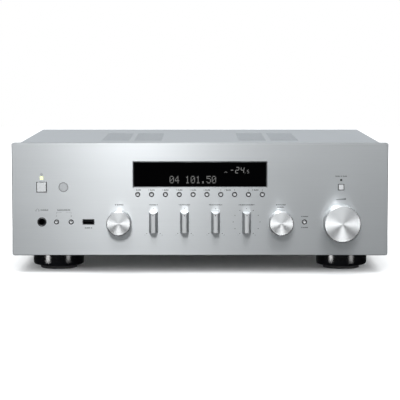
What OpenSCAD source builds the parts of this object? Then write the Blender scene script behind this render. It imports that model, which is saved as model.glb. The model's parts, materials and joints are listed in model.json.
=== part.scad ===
// Stereo receiver: a free-standing hi-fi receiver with an aluminium front, seven turning
// controls, fifteen push buttons, a folded steel case and eight screw terminals at the back.
// Millimetres. +Z is up, the front faces -Y, and the origin is on the table under the middle
// of the whole object. Depths are counted as u, backwards from the face of the front panel.

/* [Case] */
// Width of the front panel
panel_w = 435; // [362:1:522]
// Height from the table to the top of the front panel
total_h = 151; // [130:1:181]
// Height of the feet, from the table to the floor of the case
foot_h = 20; // [14:0.5:28]
// Depth from the face of the front panel to the back of the case
case_d = 340; // [284:1:408]
// How far the volume knob stands in front of the panel
knob_reach = 26; // [21:0.5:31]
// How far the loudspeaker terminals stand behind the case
post_reach = 26; // [22:0.5:31]
// Thickness of the folded steel sheet
sheet_t = 1.2; // [0.8:0.1:1.6]
// How far the cover stands in from the side of the front panel
cover_inset = 2.5; // [1:0.5:6]
// How far the cover lies under the top edge of the front panel
cover_drop = 3; // [1:0.5:6]
// Outer radius of the cover's two long bends
cover_bend = 3; // [2:0.5:5]
// Height of the lip that the cover folds down over the back
cover_lip = 12; // [9:0.5:16]
// Height of the folded sides of the bottom chassis
side_fold = 16; // [12:0.5:24]

/* [Front panel] */
// Thickness of the front panel
panel_t = 5; // [4:0.5:7]
// Corner radius of the front panel
panel_r = 2.4; // [1:0.2:5]
// Width of the bevel along the panel's front edges
panel_bevel = 0.7; // [0.2:0.1:1.5]
// Width of the display opening
window_w = 153; // [120:1:180]
// Height of the display opening
window_h = 28.4; // [22:0.2:32]
// Width of the bevel round the display opening
window_bevel = 1.4; // [0.3:0.1:1.8]
// Thickness of the display window behind its bevel
window_rim = 2; // [1:0.5:2.5]

/* [Vents] */
// Length of a vent slot
vent_len = 34; // [24:1:40]
// Width of a vent slot
vent_w = 3.4; // [2:0.1:4]
// Distance from one row of vent slots to the next
vent_pitch = 10; // [8:0.5:14]
// Distance from the front, and from the back, to the first row of vent slots
vent_margin = 92; // [75:1:110]

/* [Knobs] */
// Diameter of the volume knob
volume_d = 42; // [34:0.5:50]
// Diameter of the input and select knobs
selector_d = 28; // [22:0.5:34]
// How far the input and select knobs stand in front of the panel
selector_reach = 20; // [16:0.5:24]
// Width and length of a tone knob at its foot
bar_foot = [10.4, 24.6];
// Width and length of a tone knob at its face
bar_face = [5.3, 22.8];
// How far the tone knobs stand in front of the panel
bar_reach = 16; // [14:0.5:20]
// Gap between a knob and the panel
knob_gap = 0.8; // [0.5:0.1:1.5]
// Wall of a round knob
knob_wall = 2.2; // [1.5:0.1:3]
// Thickness of a round knob's face
knob_face_t = 4; // [3:0.5:6]
// Diameter of the control shafts
shaft_d = 6; // [5:0.1:6.4]
// Length of shaft in front of the panel
shaft_out = 13; // [11:0.5:13]
// Travel of the select knob when it is pushed
select_push = 0.6; // [0.3:0.1:1]

/* [Buttons] */
// Diameter of a small button's cap
button_d = 4.4; // [3.6:0.1:5]
// Gap round a small button in the panel
button_gap = 0.55; // [0.3:0.05:0.8]
// How far a small button stands in front of the panel
button_out = 0.8; // [0.4:0.1:1.5]
// Travel of the small buttons
button_travel = 0.8; // [0.4:0.1:1.2]
// Side of the square power button
power_side = 10.8; // [8:0.2:12]
// How far the power button stands in front of the panel
power_out = 1.8; // [1:0.1:5]
// Travel of the power button
power_travel = 3.5; // [1.5:0.1:4]
// Side of the square direct button
direct_side = 6; // [5:0.2:7]

/* [Front sockets and windows] */
// Radius of the bore of the headphone socket
phones_bore_r = 3.2; // [3.18:0.02:3.3]
// Outer diameter of the headphone socket's collar
phones_collar_d = 10.4; // [9:0.2:11]
// Depth of the headphone socket
phones_depth = 34; // [30:1:36]
// Width and height of the opening of the data port
usb_mouth = [12.5, 5.1];
// Diameter of the remote control window
sensor_d = 10.2; // [8:0.2:11]
// Side of the power lamp
lamp_side = 4; // [3:0.2:4.4]

/* [Feet] */
// Diameter of a foot
foot_d = 60; // [48:1:70]
// Diameter of the rubber pad under a foot
pad_d = 43; // [34:1:50]
// Height of the pad that shows under a foot
pad_h = 3.5; // [2:0.5:5]
// Distance from the panel's face to the middle of the front feet, and from the back to the rear ones
foot_setback = 50; // [40:1:65]

/* [Back] */
// Outer diameter of a terminal cap
cap_d = 13; // [11:0.5:14]
// Travel of a terminal cap when it is unscrewed
cap_travel = 5; // [3:0.5:6]
// Radius of the plug bore of a terminal
plug_bore_r = 2; // [1.9:0.02:2.1]
// Outer radius of a phono socket
phono_r = 4.15; // [4:0.05:4.3]
// Length of a phono socket outside its flange
phono_len = 8; // [7:0.5:10]
// Side-to-side distance between terminals and between phono sockets
terminal_pitch = 21; // [20:0.5:24]
phono_pitch = 14; // [13:0.5:16]

/* [Inside] */
// Height of the standoffs under the amplifier board
standoff_h = 10; // [6:1:14]
// Length of the heat sink
sink_len = 200; // [160:5:210]
// Depth of the heat sink's fins
fin_depth = 38; // [30:1:42]
// Diameter and height of the reservoir capacitors
can_size = [35, 50];
// Sides of the transformer's core: stack, length and height
core_size = [50, 96, 72];

/* [Hidden] */
$fn = 64;
clear = 0.3; // gap between parts that are put together by hand
slip = 0.1; // gap between parts that slide
run = 0.05; // gap round a turning shaft
board_t = 1.6;
over = 1; // how far a cut runs past the face it opens

FUNCTIONS = ["dimmer", "display", "mode", "memory", "clear", "band",
             "preset_down", "preset_up", "tuning_down", "tuning_up"];

// Overall places
panel_h = total_h - foot_h;
y_front = knob_reach - (knob_reach + case_d + post_reach) / 2;
floor_top = foot_h + sheet_t;
cover_half = panel_w / 2 - cover_inset;
cover_top = total_h - cover_drop;
cover_under = cover_top - sheet_t;
cover_foot = foot_h + 1;
tray_half = cover_half - sheet_t - clear;
inner_half = tray_half - sheet_t - clear;
rear_out = case_d - sheet_t; // outer face of the rear panel
rear_in = rear_out - sheet_t;
frame_back = panel_t + sheet_t;

// Places on the panel, as shares of its width from the middle and of its height from below
row = 0.298;
upper = 0.607;
power_at = [-0.421, upper];
sensor_at = [-0.363, upper];
phones_at = [-0.421, row];
speaker_a_at = [-0.382, row];
speaker_b_at = [-0.343, row];
usb_at = [-0.297, row];
input_at = [-0.215, row];
bass_at = [-0.124, row];
treble_at = [-0.0414, row];
balance_at = [0.0414, row];
loudness_at = [0.124, row];
select_at = [0.215, row];
return_at = [0.278, row];
volume_at = [0.375, row];
direct_at = [0.375, upper];
window_at = [0, 0.717];
window = [window_w, window_h];
function function_at(i) = [(i - 4.5) * 0.0368, 0.542];
knobs_at = [input_at, bass_at, treble_at, balance_at, loudness_at, select_at, volume_at];
small_buttons_at = concat([for (i = [0:9]) function_at(i)], [speaker_a_at, speaker_b_at, return_at]);
corner_screws_at = [for (x = [-0.455, 0.455], z = [0.12, 0.88]) [x, z]];

// Front board and what is on it
board_u = 24; // front face of the board
board_back = board_u + board_t;
board_half = inner_half - 4;
receiver_size = [7, 8];
chip = 14;
switch_u = 20; // front face of the small switches
power_switch_u = 14;
switch_side = 6;
control_side = 16;
control_h = 9; // depth of a control's body in front of the board
stem_r = 1.5;
stem_in = 0.7; // how far a stem stands in its switch at rest
bushing_r = 5;
bushing_u = 3; // front end of the bushings
nut_t = 2;
nut_r = 7.2;
nut_pocket_r = nut_r + 0.8;
shaft_hole_r = bushing_r + 0.4;
rotor_wall = 0.95;
shaft_end_u = 22; // inner end of the shafts
disc_r = 6;
disc_u = [16.6, 19.4];
flat_at = 1.5; // height of a shaft's flat above its axis
flange_out = 1.1; // how far a button's flange is wider than its cap
flange_t = 1;
flange_gap = 0.2;
power_stem_r = 3;
power_switch_side = 15;
lamp_rise = 10.6; // height of the power lamp above the power button
direct_lamp_rise = 8.2;
direct_lamp_side = 2.2;
window_cover = 3.4; // how far the window's rim reaches past its opening
window_back = window + 2 * [window_cover, window_cover];
tube_u = [8.4, 15.4];
tube_size = [146, 30];
collar_u = 0.3; // how far collars and lenses stand behind the panel's face
jack_side = 13;
usb_wall = 0.6;
usb_depth = 12;

// Back
socket_depth = 14; // from the signal board to the rear panel
signal_u = rear_in - socket_depth; // rear face of the signal board
phono_x = -0.155 * panel_w;
phono_z = cover_under - 34; // middle of the two rows
phono_rise = 20;
phono_collar_r = 5.8;
phono_seat = rear_out + 1.5; // outer face of the phono sockets' flanges
phono_bore_r = 1.65;
port_at = [0.03 * panel_w, cover_under - 36];
port_size = [16, 13.6];
port_mouth = [11.8, 8.4];
port_depth = 12;
aerial_at = [0.11 * panel_w, cover_under - 30];
aerial_r = 4.7;
aerial_len = 9; // length of the thread behind its flange
aerial_seat = rear_out + 1.5; // outer face of the aerial socket's flange
terminal_x = 0.3 * panel_w;
terminal_z = [floor_top + 24, floor_top + 48];
terminal_face = rear_out + 3; // outer face of the terminal block's flange
boss_out = 6; // from the rear panel to the seat of a cap
boss_r = 7;
post_r = 3.4;
inlet_at = [-0.38 * panel_w, floor_top + 24];
inlet_mouth = [17, 9];
inlet_depth = 11.5;
inlet_pin_x = 4.3;
inlet_pin_r = 1.2;
inlet_flange = [30, 20];
inlet_face = rear_out + 2;
inlet_back = inlet_face - inlet_depth - 4;
terminals_at = [for (z = terminal_z, i = [0:3]) [terminal_x + (i - 1.5) * terminal_pitch, z]];
phonos_at = [for (i = [0:5], j = [-1, 1])
    [phono_x + (i - 2.5) * phono_pitch + (floor(i / 2) - 1) * 4, phono_z + j * phono_rise / 2]];

// Inside
amp_z = floor_top + standoff_h;
amp_x = [-0.2 * panel_w, inner_half - 8];
amp_u = [48, case_d - 44];
amp_top = amp_z + board_t;
sink_x = 0.18 * panel_w; // side of the heat sink that carries the transistors
sink_base_t = 6;
sink_u = [(case_d - sink_len) / 2, (case_d + sink_len) / 2];
sink_top = cover_under - 18;
can_x = sink_x - sink_base_t - fin_depth - 10 - can_size[0] / 2;
cans_u = [for (k = [-0.5, 0.5]) case_d / 2 + k * (can_size[0] + 12)];
core_at = [-0.335 * panel_w, 120];
coil_out = 14; // how far the winding stands out of the core's stack
strap_t = 1.5;
core_leg = core_size[1] / 3;
core_yoke = core_size[1] / 6;
lead_r = 2.5;
ribbon_w = 34;
ribbon_z = cover_under - 16;
ribbon_x = -0.13 * panel_w;
plug_size = [ribbon_w + 4, 7];
plug_t = 8;

vents_x = [for (k = [-0.235, -0.145, 0.145, 0.235]) k * panel_w];

// Screws
screw_r = 1.5;
screw_hole_r = screw_r + 0.15;
head_r = 3.2;
head_t = 2;
screw_len = 8;
foot_screw_r = 2;
foot_head_r = 4;
foot_hollow_r = 6;
foot_round = 1.5;
pad_hole_r = foot_hollow_r + 3;
pad_sunk = 1;
foot_web = 4;
feet_at = [for (x = [-0.386, 0.386], u = [foot_setback, case_d - foot_setback]) [x * panel_w, u]];
side_screws_u = [40, case_d - 40];
side_screw_z = foot_h + 9;
lip_screws_x = [for (k = [-0.44, -0.22, 0, 0.22, 0.44]) k * panel_w];
lip_screw_z = cover_top - cover_lip / 2 - sheet_t / 2;
terminal_mid = [terminal_x, (terminal_z[0] + terminal_z[1]) / 2];
terminal_screws_at = [for (s = [-1, 1]) terminal_mid + [s * (2 * terminal_pitch + 3), 0]];

// Places and outlines
function place(at) = [at[0] * panel_w, foot_h + at[1] * panel_h];

// A slot with round ends, and a rectangle with round corners
module slot(w, h) {
    square([w - h, h], center = true);
    for (s = [-1, 1]) translate([s * (w - h) / 2, 0]) circle(d = h);
}
module round_rect(w, h, r) {
    square([w - 2 * r, h], center = true);
    square([w, h - 2 * r], center = true);
    for (x = [-1, 1], z = [-1, 1]) translate([x * (w / 2 - r), z * (h / 2 - r)]) circle(r);
}
// Half an outline of an arch: its sides go down to z = foot and its two bends have radius r
module arch(half, top, r, foot) {
    translate([-half, foot]) square([2 * half, top - r - foot]);
    translate([r - half, foot]) square([2 * (half - r), top - foot]);
    for (s = [-1, 1]) translate([s * (half - r), top - r]) circle(r);
}

// A flat outline in x and z, given thickness from depth u0 to depth u1
module plate(u0, u1)
    translate([0, y_front + u1, 0]) rotate([90, 0, 0]) linear_extrude(u1 - u0) children();
// Turns what stands along z so that it points to the front from depth u
module facing(p, u) translate([p[0], y_front + u, p[1]]) rotate([90, 0, 0]) children();
// A round bar from depth u0 to depth u1
module bar(p, r, u0, u1) facing(p, u1) cylinder(r = r, h = u1 - u0);
// A solid turned about a front-to-back axis: radii, and heights in front of the panel
module turned(p, outline) facing(p, 0) rotate_extrude() polygon(outline);
module block(p, size, u0, u1) plate(u0, u1) translate(p) square(size, center = true);
// A box from its lowest to its highest corner, with the depth as u
module box(lo, hi) translate([lo[0], y_front + lo[1], lo[2]]) cube(hi - lo);
// A block whose sides lean evenly from one size at depth u0 to another at depth u1
module tapered(p, size0, size1, u0, u1) {
    wide = max(size0[0], size1[0]);
    tall = max(size0[1], size1[1]);
    intersection() {
        translate([p[0], y_front, p[1] - tall / 2]) linear_extrude(tall)
            polygon([[-size0[0] / 2, u0], [size0[0] / 2, u0], [size1[0] / 2, u1], [-size1[0] / 2, u1]]);
        translate([p[0] - wide / 2, y_front, p[1]]) rotate([90, 0, 90]) linear_extrude(wide)
            polygon([[u0, -size0[1] / 2], [u0, size0[1] / 2], [u1, size1[1] / 2], [u1, -size1[1] / 2]]);
    }
}

module front_panel() color("silver") difference() {
    plate(0, panel_t) translate([0, foot_h + panel_h / 2]) round_rect(panel_w, panel_h, panel_r);
    for (z = [foot_h, total_h]) translate([0, y_front, z]) rotate([45, 0, 0])
        cube([panel_w + 2 * over, panel_bevel * sqrt(2), panel_bevel * sqrt(2)], center = true);
    for (s = [-1, 1]) translate([s * panel_w / 2, y_front, foot_h + panel_h / 2]) rotate([0, 0, 45])
        cube([panel_bevel * sqrt(2), panel_bevel * sqrt(2), panel_h + 2 * over], center = true);
    block(place(window_at), window, -over, panel_t + over);
    tapered(place(window_at), window + 4 * [window_bevel, window_bevel], window, -window_bevel, window_bevel);
    for (at = knobs_at) {
        bar(place(at), shaft_hole_r, -over, panel_t + over);
        bar(place(at), nut_pocket_r, panel_t - nut_t - 0.5, panel_t + over);
    }
    for (at = small_buttons_at) bar(place(at), button_d / 2 + button_gap, -over, panel_t + over);
    block(place(power_at), power_hole, -over, panel_t + over);
    block(place(direct_at), direct_hole, -over, panel_t + over);
    block(power_lamp_at, lamp_side + 2 * slip, -over, panel_t + over);
    block(direct_lamp_at, direct_lamp_side + 2 * slip, -over, panel_t + over);
    bar(place(sensor_at), sensor_d / 2 + slip, -over, panel_t + over);
    bar(place(phones_at), phones_collar_d / 2 + slip, -over, panel_t + over);
    block(place(usb_at), usb_outer + 2 * [slip, slip], -over, panel_t + over);
    for (at = corner_screws_at) bar(place(at), screw_r, 1.5, panel_t + over);
}
power_hole = power_side + 0.7;
direct_hole = direct_side + 0.8;
power_lamp_at = place(power_at) + [0, lamp_rise];
direct_lamp_at = place(direct_at) + [0, direct_lamp_rise];
usb_outer = usb_mouth + 2 * [usb_wall, usb_wall];

// The sheet behind the front panel, with its folds, which carries the controls
module front_frame() color("gainsboro") {
    top = cover_under - clear;
    difference() {
        union() {
            box([-inner_half, panel_t, floor_top], [inner_half, frame_back, top]);
            for (s = [-1, 1]) box([s * inner_half - (s > 0 ? sheet_t : 0), panel_t, floor_top],
                                  [s * inner_half + (s < 0 ? sheet_t : 0), panel_t + 14, top]);
            box([-inner_half, panel_t, top - sheet_t], [inner_half, panel_t + 14, top]);
        }
        block(place(window_at), window_back + 2 * [clear, clear], panel_t - over, frame_back + over);
        for (at = knobs_at) bar(place(at), bushing_r + slip, panel_t - over, frame_back + over);
        for (at = small_buttons_at)
            bar(place(at), button_d / 2 + flange_out + clear, panel_t - over, frame_back + over);
        for (b = [[power_at, power_side], [direct_at, direct_side]])
            block(place(b[0]), b[1] + 2 * (flange_out + clear), panel_t - over, frame_back + over);
        block(power_lamp_at, lamp_side + 2 * clear, panel_t - over, frame_back + over);
        block(direct_lamp_at, direct_lamp_side + 2 * clear, panel_t - over, frame_back + over);
        bar(place(sensor_at), sensor_d / 2 + 1.5 + clear, panel_t - over, frame_back + over);
        bar(place(phones_at), phones_collar_d / 2 + slip, panel_t - over, frame_back + over);
        block(place(usb_at), usb_outer + 2 * [clear, clear], panel_t - over, frame_back + over);
        for (at = corner_screws_at) bar(place(at), screw_hole_r, panel_t - over, frame_back + over);
    }
}

module display_window() color("black") {
    block(place(window_at), window - 2 * [slip, slip], window_bevel, panel_t);
    block(place(window_at), window_back, panel_t, panel_t + window_rim);
}

// The glass display with its four legs on the board
module display_tube() color("darkslategray") {
    p = place(window_at);
    block(p, tube_size, tube_u[0], tube_u[1]);
    for (x = [-1, 1], z = [-1, 1])
        block(p + [x * (tube_size[0] / 2 - 6), z * (tube_size[1] / 2 - 4)], [6, 4], tube_u[1], board_u);
}

// Light pipes from the board's lamps to the panel
module indicator_lamps() color("yellowgreen") {
    block(power_lamp_at, lamp_side, collar_u, board_u - clear);
    block(direct_lamp_at, direct_lamp_side, collar_u, board_u - clear);
}

module sensor_window() color("gray") {
    bar(place(sensor_at), sensor_d / 2, collar_u, panel_t);
    bar(place(sensor_at), sensor_d / 2 + 1.5, panel_t, panel_t + 1);
}

module phones_jack() color("black") difference() {
    union() {
        bar(place(phones_at), phones_collar_d / 2, collar_u, frame_back + 1);
        block(place(phones_at), jack_side, frame_back, phones_depth + 2);
    }
    bar(place(phones_at), phones_bore_r, -over, phones_depth);
}

module usb_port() color("dimgray") {
    p = place(usb_at);
    difference() {
        block(p, usb_outer, collar_u + 0.4, board_u);
        block(p, usb_mouth, -over, usb_depth);
    }
    block(p + [0, 0.9], [usb_mouth[0] - 1.4, 1.84], 3, usb_depth);
}

// The board behind the panel, with its infrared receiver, its cable socket and its chips
module front_board() color("darkgreen") {
    top = cover_under - 6;
    difference() {
        box([-board_half, board_u, floor_top + 6], [board_half, board_back, top]);
        block(place(phones_at), jack_side + 2 * clear, board_u - over, board_back + over);
        for (at = corner_screws_at) bar(place(at), head_r + clear, board_u - over, board_back + over);
    }
    block(place(sensor_at), receiver_size, board_u - 5, board_u);
    block([ribbon_x, ribbon_z], plug_size, board_back, board_back + plug_t);
    for (x = [0.02, 0.16, 0.3])
        block([x * panel_w, foot_h + 0.6 * panel_h], chip, board_back, board_back + 1.6);
}

// Potentiometers and encoders: a body on the board and a bushing through the frame
module control_body(at, bore) {
    p = place(at);
    difference() {
        union() {
            block(p, control_side, board_u - control_h, board_u);
            bar(p, bushing_r, bushing_u, board_u - control_h + over);
        }
        bar(p, bore, bushing_u - over, disc_u[0]);
        bar(p, disc_r + clear, disc_u[0] - clear, disc_u[1] + clear);
        bar(p, shaft_d / 2 + slip, disc_u[1], shaft_end_u + select_push + clear);
    }
}

module rotary_controls() color("slategray") for (at = knobs_at)
    control_body(at, at == select_at ? shaft_d / 2 + run + rotor_wall + run : shaft_d / 2 + run);

// The switches that the buttons press: each stem stands in its switch's bore
module front_switches() color("dimgray") {
    for (at = concat(small_buttons_at, [direct_at])) difference() {
        block(place(at), switch_side, switch_u, board_u);
        bar(place(at), stem_r + slip, switch_u - over, switch_u + stem_in + button_travel + clear);
    }
    difference() {
        block(place(power_at), power_switch_side, power_switch_u, board_u);
        bar(place(power_at), power_stem_r + slip, power_switch_u - over,
            power_switch_u + stem_in + power_travel + clear);
    }
}

// A small round button with its flange behind the panel and its stem in the switch
module round_button(at) color("silver") {
    r = button_d / 2;
    back = panel_t + flange_gap;
    turned(place(at), [[0, button_out], [r - 0.5, button_out], [r, button_out - 0.4], [r, -back],
        [r + flange_out, -back], [r + flange_out, -back - flange_t], [stem_r, -back - flange_t],
        [stem_r, -switch_u - stem_in], [0, -switch_u - stem_in]]);
}

// A square button of the same build
module square_button(at, side, out, stem, tip) color("silver") {
    p = place(at);
    back = panel_t + flange_gap;
    difference() {
        block(p, side, -out, back + flange_t);
        for (a = [0:90:270]) translate([p[0], y_front - out, p[1]]) rotate([0, a, 0])
            translate([side / 2, 0, 0]) rotate([0, 0, 45]) cube([0.6, 0.6, 2 * side], center = true);
    }
    block(p, side + 2 * flange_out, back, back + flange_t);
    bar(p, stem, back + flange_t, tip);
}

module power_button()
    square_button(power_at, power_side, power_out, power_stem_r, power_switch_u + stem_in);
module direct_button()
    square_button(direct_at, direct_side, button_out, stem_r, switch_u + stem_in);

// A control's shaft, with a flat on its front end. A disc turns with it inside the control's body.
module shaft(at, with_disc) {
    p = place(at);
    difference() {
        union() {
            bar(p, shaft_d / 2, -shaft_out, shaft_end_u);
            if (with_disc) bar(p, disc_r, disc_u[0], disc_u[1]);
        }
        box([p[0] - shaft_d, -shaft_out - over, p[1] + flat_at],
            [p[0] + shaft_d, with_disc ? 0 : shaft_end_u + over, p[1] + shaft_d]);
    }
}

// The bore that the shaft's flat end fits
module shaft_bore(at) {
    p = place(at);
    difference() {
        bar(p, shaft_d / 2 + run, -shaft_out - clear, over);
        box([p[0] - shaft_d, -shaft_out - clear - over, p[1] + flat_at + run],
            [p[0] + shaft_d, 2 * over, p[1] + shaft_d]);
    }
}

module round_knob(at, d, reach, with_disc = true) color("silver") {
    r = d / 2;
    boss = shaft_d / 2 + 3;
    difference() {
        turned(place(at), [[0, reach], [r - 0.6, reach], [r, reach - 0.6], [r, knob_gap],
            [r - knob_wall, knob_gap], [r - knob_wall, reach - knob_face_t],
            [boss, reach - knob_face_t], [boss, knob_gap], [0, knob_gap]]);
        shaft_bore(at);
    }
    shaft(at, with_disc);
}

// A tone knob: a bar whose four sides lean in, with a pointer dot at the top of its face
module bar_knob(at) color("silver") {
    p = place(at);
    difference() {
        tapered(p, bar_face, bar_foot, -bar_reach, -knob_gap);
        shaft_bore(at);
        bar(p + [0, bar_face[1] / 2 - 2.4], 0.7, -bar_reach - over, 0.3 - bar_reach);
    }
    shaft(at, true);
}

// The sleeve of the select control: it turns with the shaft, which slides through it
module select_rotor() color("goldenrod") {
    p = place(select_at);
    difference() {
        union() {
            bar(p, shaft_d / 2 + run + rotor_wall, bushing_u + over, disc_u[1]);
            bar(p, disc_r, disc_u[0], disc_u[1]);
        }
        difference() {
            bar(p, shaft_d / 2 + run, bushing_u, disc_u[1] + over);
            box([p[0] - shaft_d, 0, p[1] + flat_at + run],
                [p[0] + shaft_d, disc_u[1] + 2 * over, p[1] + shaft_d]);
        }
    }
}

// The tray that forms the floor, with folded sides, standoffs and vents
module bottom_chassis() color("gainsboro") {
    standoffs = [for (x = amp_x + [8, -8], u = amp_u + [8, -8]) [x, u]];
    difference() {
        union() {
            box([-tray_half, panel_t, foot_h], [tray_half, rear_out, floor_top]);
            for (s = [-1, 1]) box([s * tray_half - (s > 0 ? sheet_t : 0), panel_t, foot_h],
                                  [s * tray_half + (s < 0 ? sheet_t : 0), rear_out, foot_h + side_fold]);
            for (p = standoffs)
                translate([p[0], y_front + p[1], foot_h]) cylinder(r = 4, h = sheet_t + standoff_h);
        }
        for (p = feet_at) translate([p[0], y_front + p[1], foot_h - over])
            cylinder(r = foot_screw_r + slip, h = sheet_t + 2 * over);
        for (u = side_screws_u) translate([0, y_front + u, side_screw_z]) rotate([0, 90, 0])
            cylinder(r = screw_hole_r, h = panel_w, center = true);
        for (i = [0:9], x = [-0.07, 0.07])
            translate([x * panel_w, y_front + case_d / 2 + (i - 4.5) * vent_pitch, foot_h - over])
                linear_extrude(sheet_t + 2 * over) slot(vent_len, vent_w);
    }
}

// The folded cover: a top, two sides, a lip over the back, and two fields of vents
module top_cover() color("silver") {
    vent_rows = floor((case_d - 2 * vent_margin) / vent_pitch);
    difference() {
        union() {
            plate(panel_t + clear, case_d) difference() {
                arch(cover_half, cover_top, cover_bend, cover_foot);
                arch(cover_half - sheet_t, cover_under, cover_bend - sheet_t, cover_foot - over);
            }
            box([cover_bend - cover_half, rear_out, cover_top - cover_lip],
                [cover_half - cover_bend, case_d, cover_top - sheet_t / 2]);
        }
        for (x = vents_x, i = [0:vent_rows])
            translate([x, y_front + vent_margin + i * vent_pitch, cover_under - over])
                linear_extrude(sheet_t + 2 * over) slot(vent_len, vent_w);
        for (u = side_screws_u) translate([0, y_front + u, side_screw_z]) rotate([0, 90, 0])
            cylinder(r = screw_hole_r, h = panel_w, center = true);
        for (sx = lip_screws_x) bar([sx, lip_screw_z], screw_hole_r, rear_out - over, case_d + over);
    }
}

module rear_panel() color("gainsboro") {
    top = cover_under - clear;
    difference() {
        union() {
            box([-inner_half, rear_in, floor_top], [inner_half, rear_out, top]);
            box([-inner_half, rear_in - 12, floor_top], [inner_half, rear_out, floor_top + sheet_t]);
        }
        for (sx = lip_screws_x) bar([sx, lip_screw_z], screw_hole_r, rear_in - over, rear_out + over);
        for (p = phonos_at) bar(p, phono_collar_r + clear, rear_in - over, rear_out + over);
        block(port_at, port_size + 2 * [clear, clear], rear_in - over, rear_out + over);
        bar(aerial_at, aerial_r + clear, rear_in - over, rear_out + over);
        block(terminal_mid, terminal_body + 2 * [clear, clear], rear_in - over, rear_out + over);
        block(inlet_at, inlet_body + 2 * [clear, clear], rear_in - over, rear_out + over);
        for (p = terminal_screws_at) bar(p, screw_hole_r, rear_in - over, rear_out + over);
    }
}
terminal_body = [3 * terminal_pitch + 16, terminal_z[1] - terminal_z[0] + 16];
terminal_flange = terminal_body + [18, 6];
inlet_body = inlet_mouth + [4, 4];

// Turned feet, hollow in the middle for the screw, with a groove for the pad
module feet() color("black") at_feet() rotate_extrude() difference() {
    union() {
        translate([0, pad_h]) square([foot_d / 2 - foot_round, foot_h - pad_h]);
        translate([0, pad_h + foot_round]) square([foot_d / 2, foot_h - pad_h - foot_round]);
        translate([foot_d / 2 - foot_round, pad_h + foot_round]) circle(foot_round);
    }
    square([foot_hollow_r, foot_h - foot_web]);
    square([foot_screw_r + slip, foot_h + over]);
    translate([pad_hole_r - slip, 0]) square([pad_d / 2 - pad_hole_r + 2 * slip, pad_h + pad_sunk]);
}

module foot_pads() color("dimgray") at_feet() rotate_extrude()
    polygon([[pad_hole_r, 0], [pad_d / 2 - 0.6, 0], [pad_d / 2, 0.6],
        [pad_d / 2, pad_h + pad_sunk], [pad_hole_r, pad_h + pad_sunk]]);

module at_feet() for (p = feet_at) translate([p[0], y_front + p[1], 0]) children();

// An iron core with its winding through it, under a strap with feet
module transformer() translate([core_at[0], y_front + core_at[1], floor_top + strap_t]) {
    s = core_size;
    window_h = s[2] - 2 * core_yoke;
    strap_y = s[1] / 2 + clear;
    color("dimgray") difference() {
        translate([-s[0] / 2, -s[1] / 2, 0]) cube(s);
        for (k = [-1, 1]) translate([0, k * (core_leg + core_yoke) / 2, s[2] / 2])
            cube([s[0] + 2 * over, core_yoke, window_h], center = true);
    }
    color("peru") translate([0, 0, s[2] / 2]) difference() {
        cube([s[0] + 2 * coil_out, core_leg + 2 * (core_yoke - clear), window_h - 2 * clear], center = true);
        cube([s[0] + 2 * clear, core_leg + 2 * clear, s[2]], center = true);
    }
    color("lightgray") {
        translate([-s[0] / 2, -strap_y - strap_t, s[2]]) cube([s[0], 2 * (strap_y + strap_t), strap_t]);
        for (k = [0, 180]) rotate([0, 0, k]) {
            translate([-s[0] / 2, strap_y, -strap_t]) cube([s[0], strap_t, s[2] + 2 * strap_t]);
            translate([-s[0] / 2, strap_y, -strap_t]) cube([s[0], 16, strap_t]);
        }
    }
}

// A tube of eight sides along a list of points, each ring square to the way the tube goes there
module tube(points, r) {
    n = len(points);
    along = [for (i = [0:n - 1]) let (d = points[min(i + 1, n - 1)] - points[max(i - 1, 0)]) d / norm(d)];
    side = [for (d = along) let (c = cross(d, [1, 0.2, 0])) c / norm(c)];
    rings = [for (i = [0:n - 1], k = [0:7])
        points[i] + r * (cos(45 * k) * side[i] + sin(45 * k) * cross(side[i], along[i]))];
    faces = concat([[for (k = [0:7]) 7 - k]],
        [for (i = [0:n - 2], k = [0:7])
            [8 * i + k, 8 * i + (k + 1) % 8, 8 * i + 8 + (k + 1) % 8, 8 * i + 8 + k]],
        [[for (k = [0:7]) 8 * (n - 1) + k]]);
    polyhedron(points = rings, faces = faces);
}

// The mains lead from the inlet to the power switch, and the flat cable between the two boards
module wiring() {
    wall = 9 - inner_half;
    low = floor_top + 6;
    power = place(power_at);
    lead = [[inlet_at[0], inlet_back, inlet_at[1]], [inlet_at[0], inlet_back - 5, inlet_at[1]],
        [inlet_at[0] - 5, inlet_back - 12, inlet_at[1] - 4], [wall + 8, inlet_back - 20, low + 6],
        [wall, inlet_back - 32, low], [wall, case_d / 2, low], [wall, 60, low], [wall, 48, low + 6],
        [wall + 1, 40, low + 20], [wall + 4, 37, power[1] - 14], [power[0] - 5, 35, power[1] - 3],
        [power[0], board_back + 5, power[1]], [power[0], board_back, power[1]]];
    color("saddlebrown") tube([for (p = lead) [p[0], y_front + p[1], p[2]]], lead_r);
    u0 = board_back + plug_t;
    u1 = signal_u - board_t - plug_t;
    sag = [for (i = [0:12]) [u0 + (u1 - u0) * i / 12, ribbon_z - 8 * sin(180 * i / 12)]];
    color("lightgray") translate([ribbon_x - ribbon_w / 2, y_front, 0]) rotate([90, 0, 90])
        linear_extrude(ribbon_w) polygon(concat(sag, [for (i = [12:-1:0]) sag[i] + [0, 0.9]]));
}

module heat_sink() color("darkgray") {
    fins = floor((sink_len - 4) / 16);
    box([sink_x - sink_base_t, sink_u[0], amp_top], [sink_x, sink_u[1], sink_top]);
    for (i = [0:fins]) box([sink_x - sink_base_t - fin_depth, sink_u[0] + 2 + i * 16, amp_top],
                           [sink_x - sink_base_t + over, sink_u[0] + 4 + i * 16, sink_top]);
}

module output_transistors() color("black") for (i = [0:3]) {
    u = sink_u[0] + 30 + i * (sink_len - 76) / 3;
    box([sink_x, u, amp_top + 12], [sink_x + 5, u + 16, amp_top + 33]);
    for (leg = [2.1, 7.6, 13.1])
        box([sink_x + 2, u + leg, amp_top], [sink_x + 2.8, u + leg + 0.8, amp_top + 12]);
}

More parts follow.
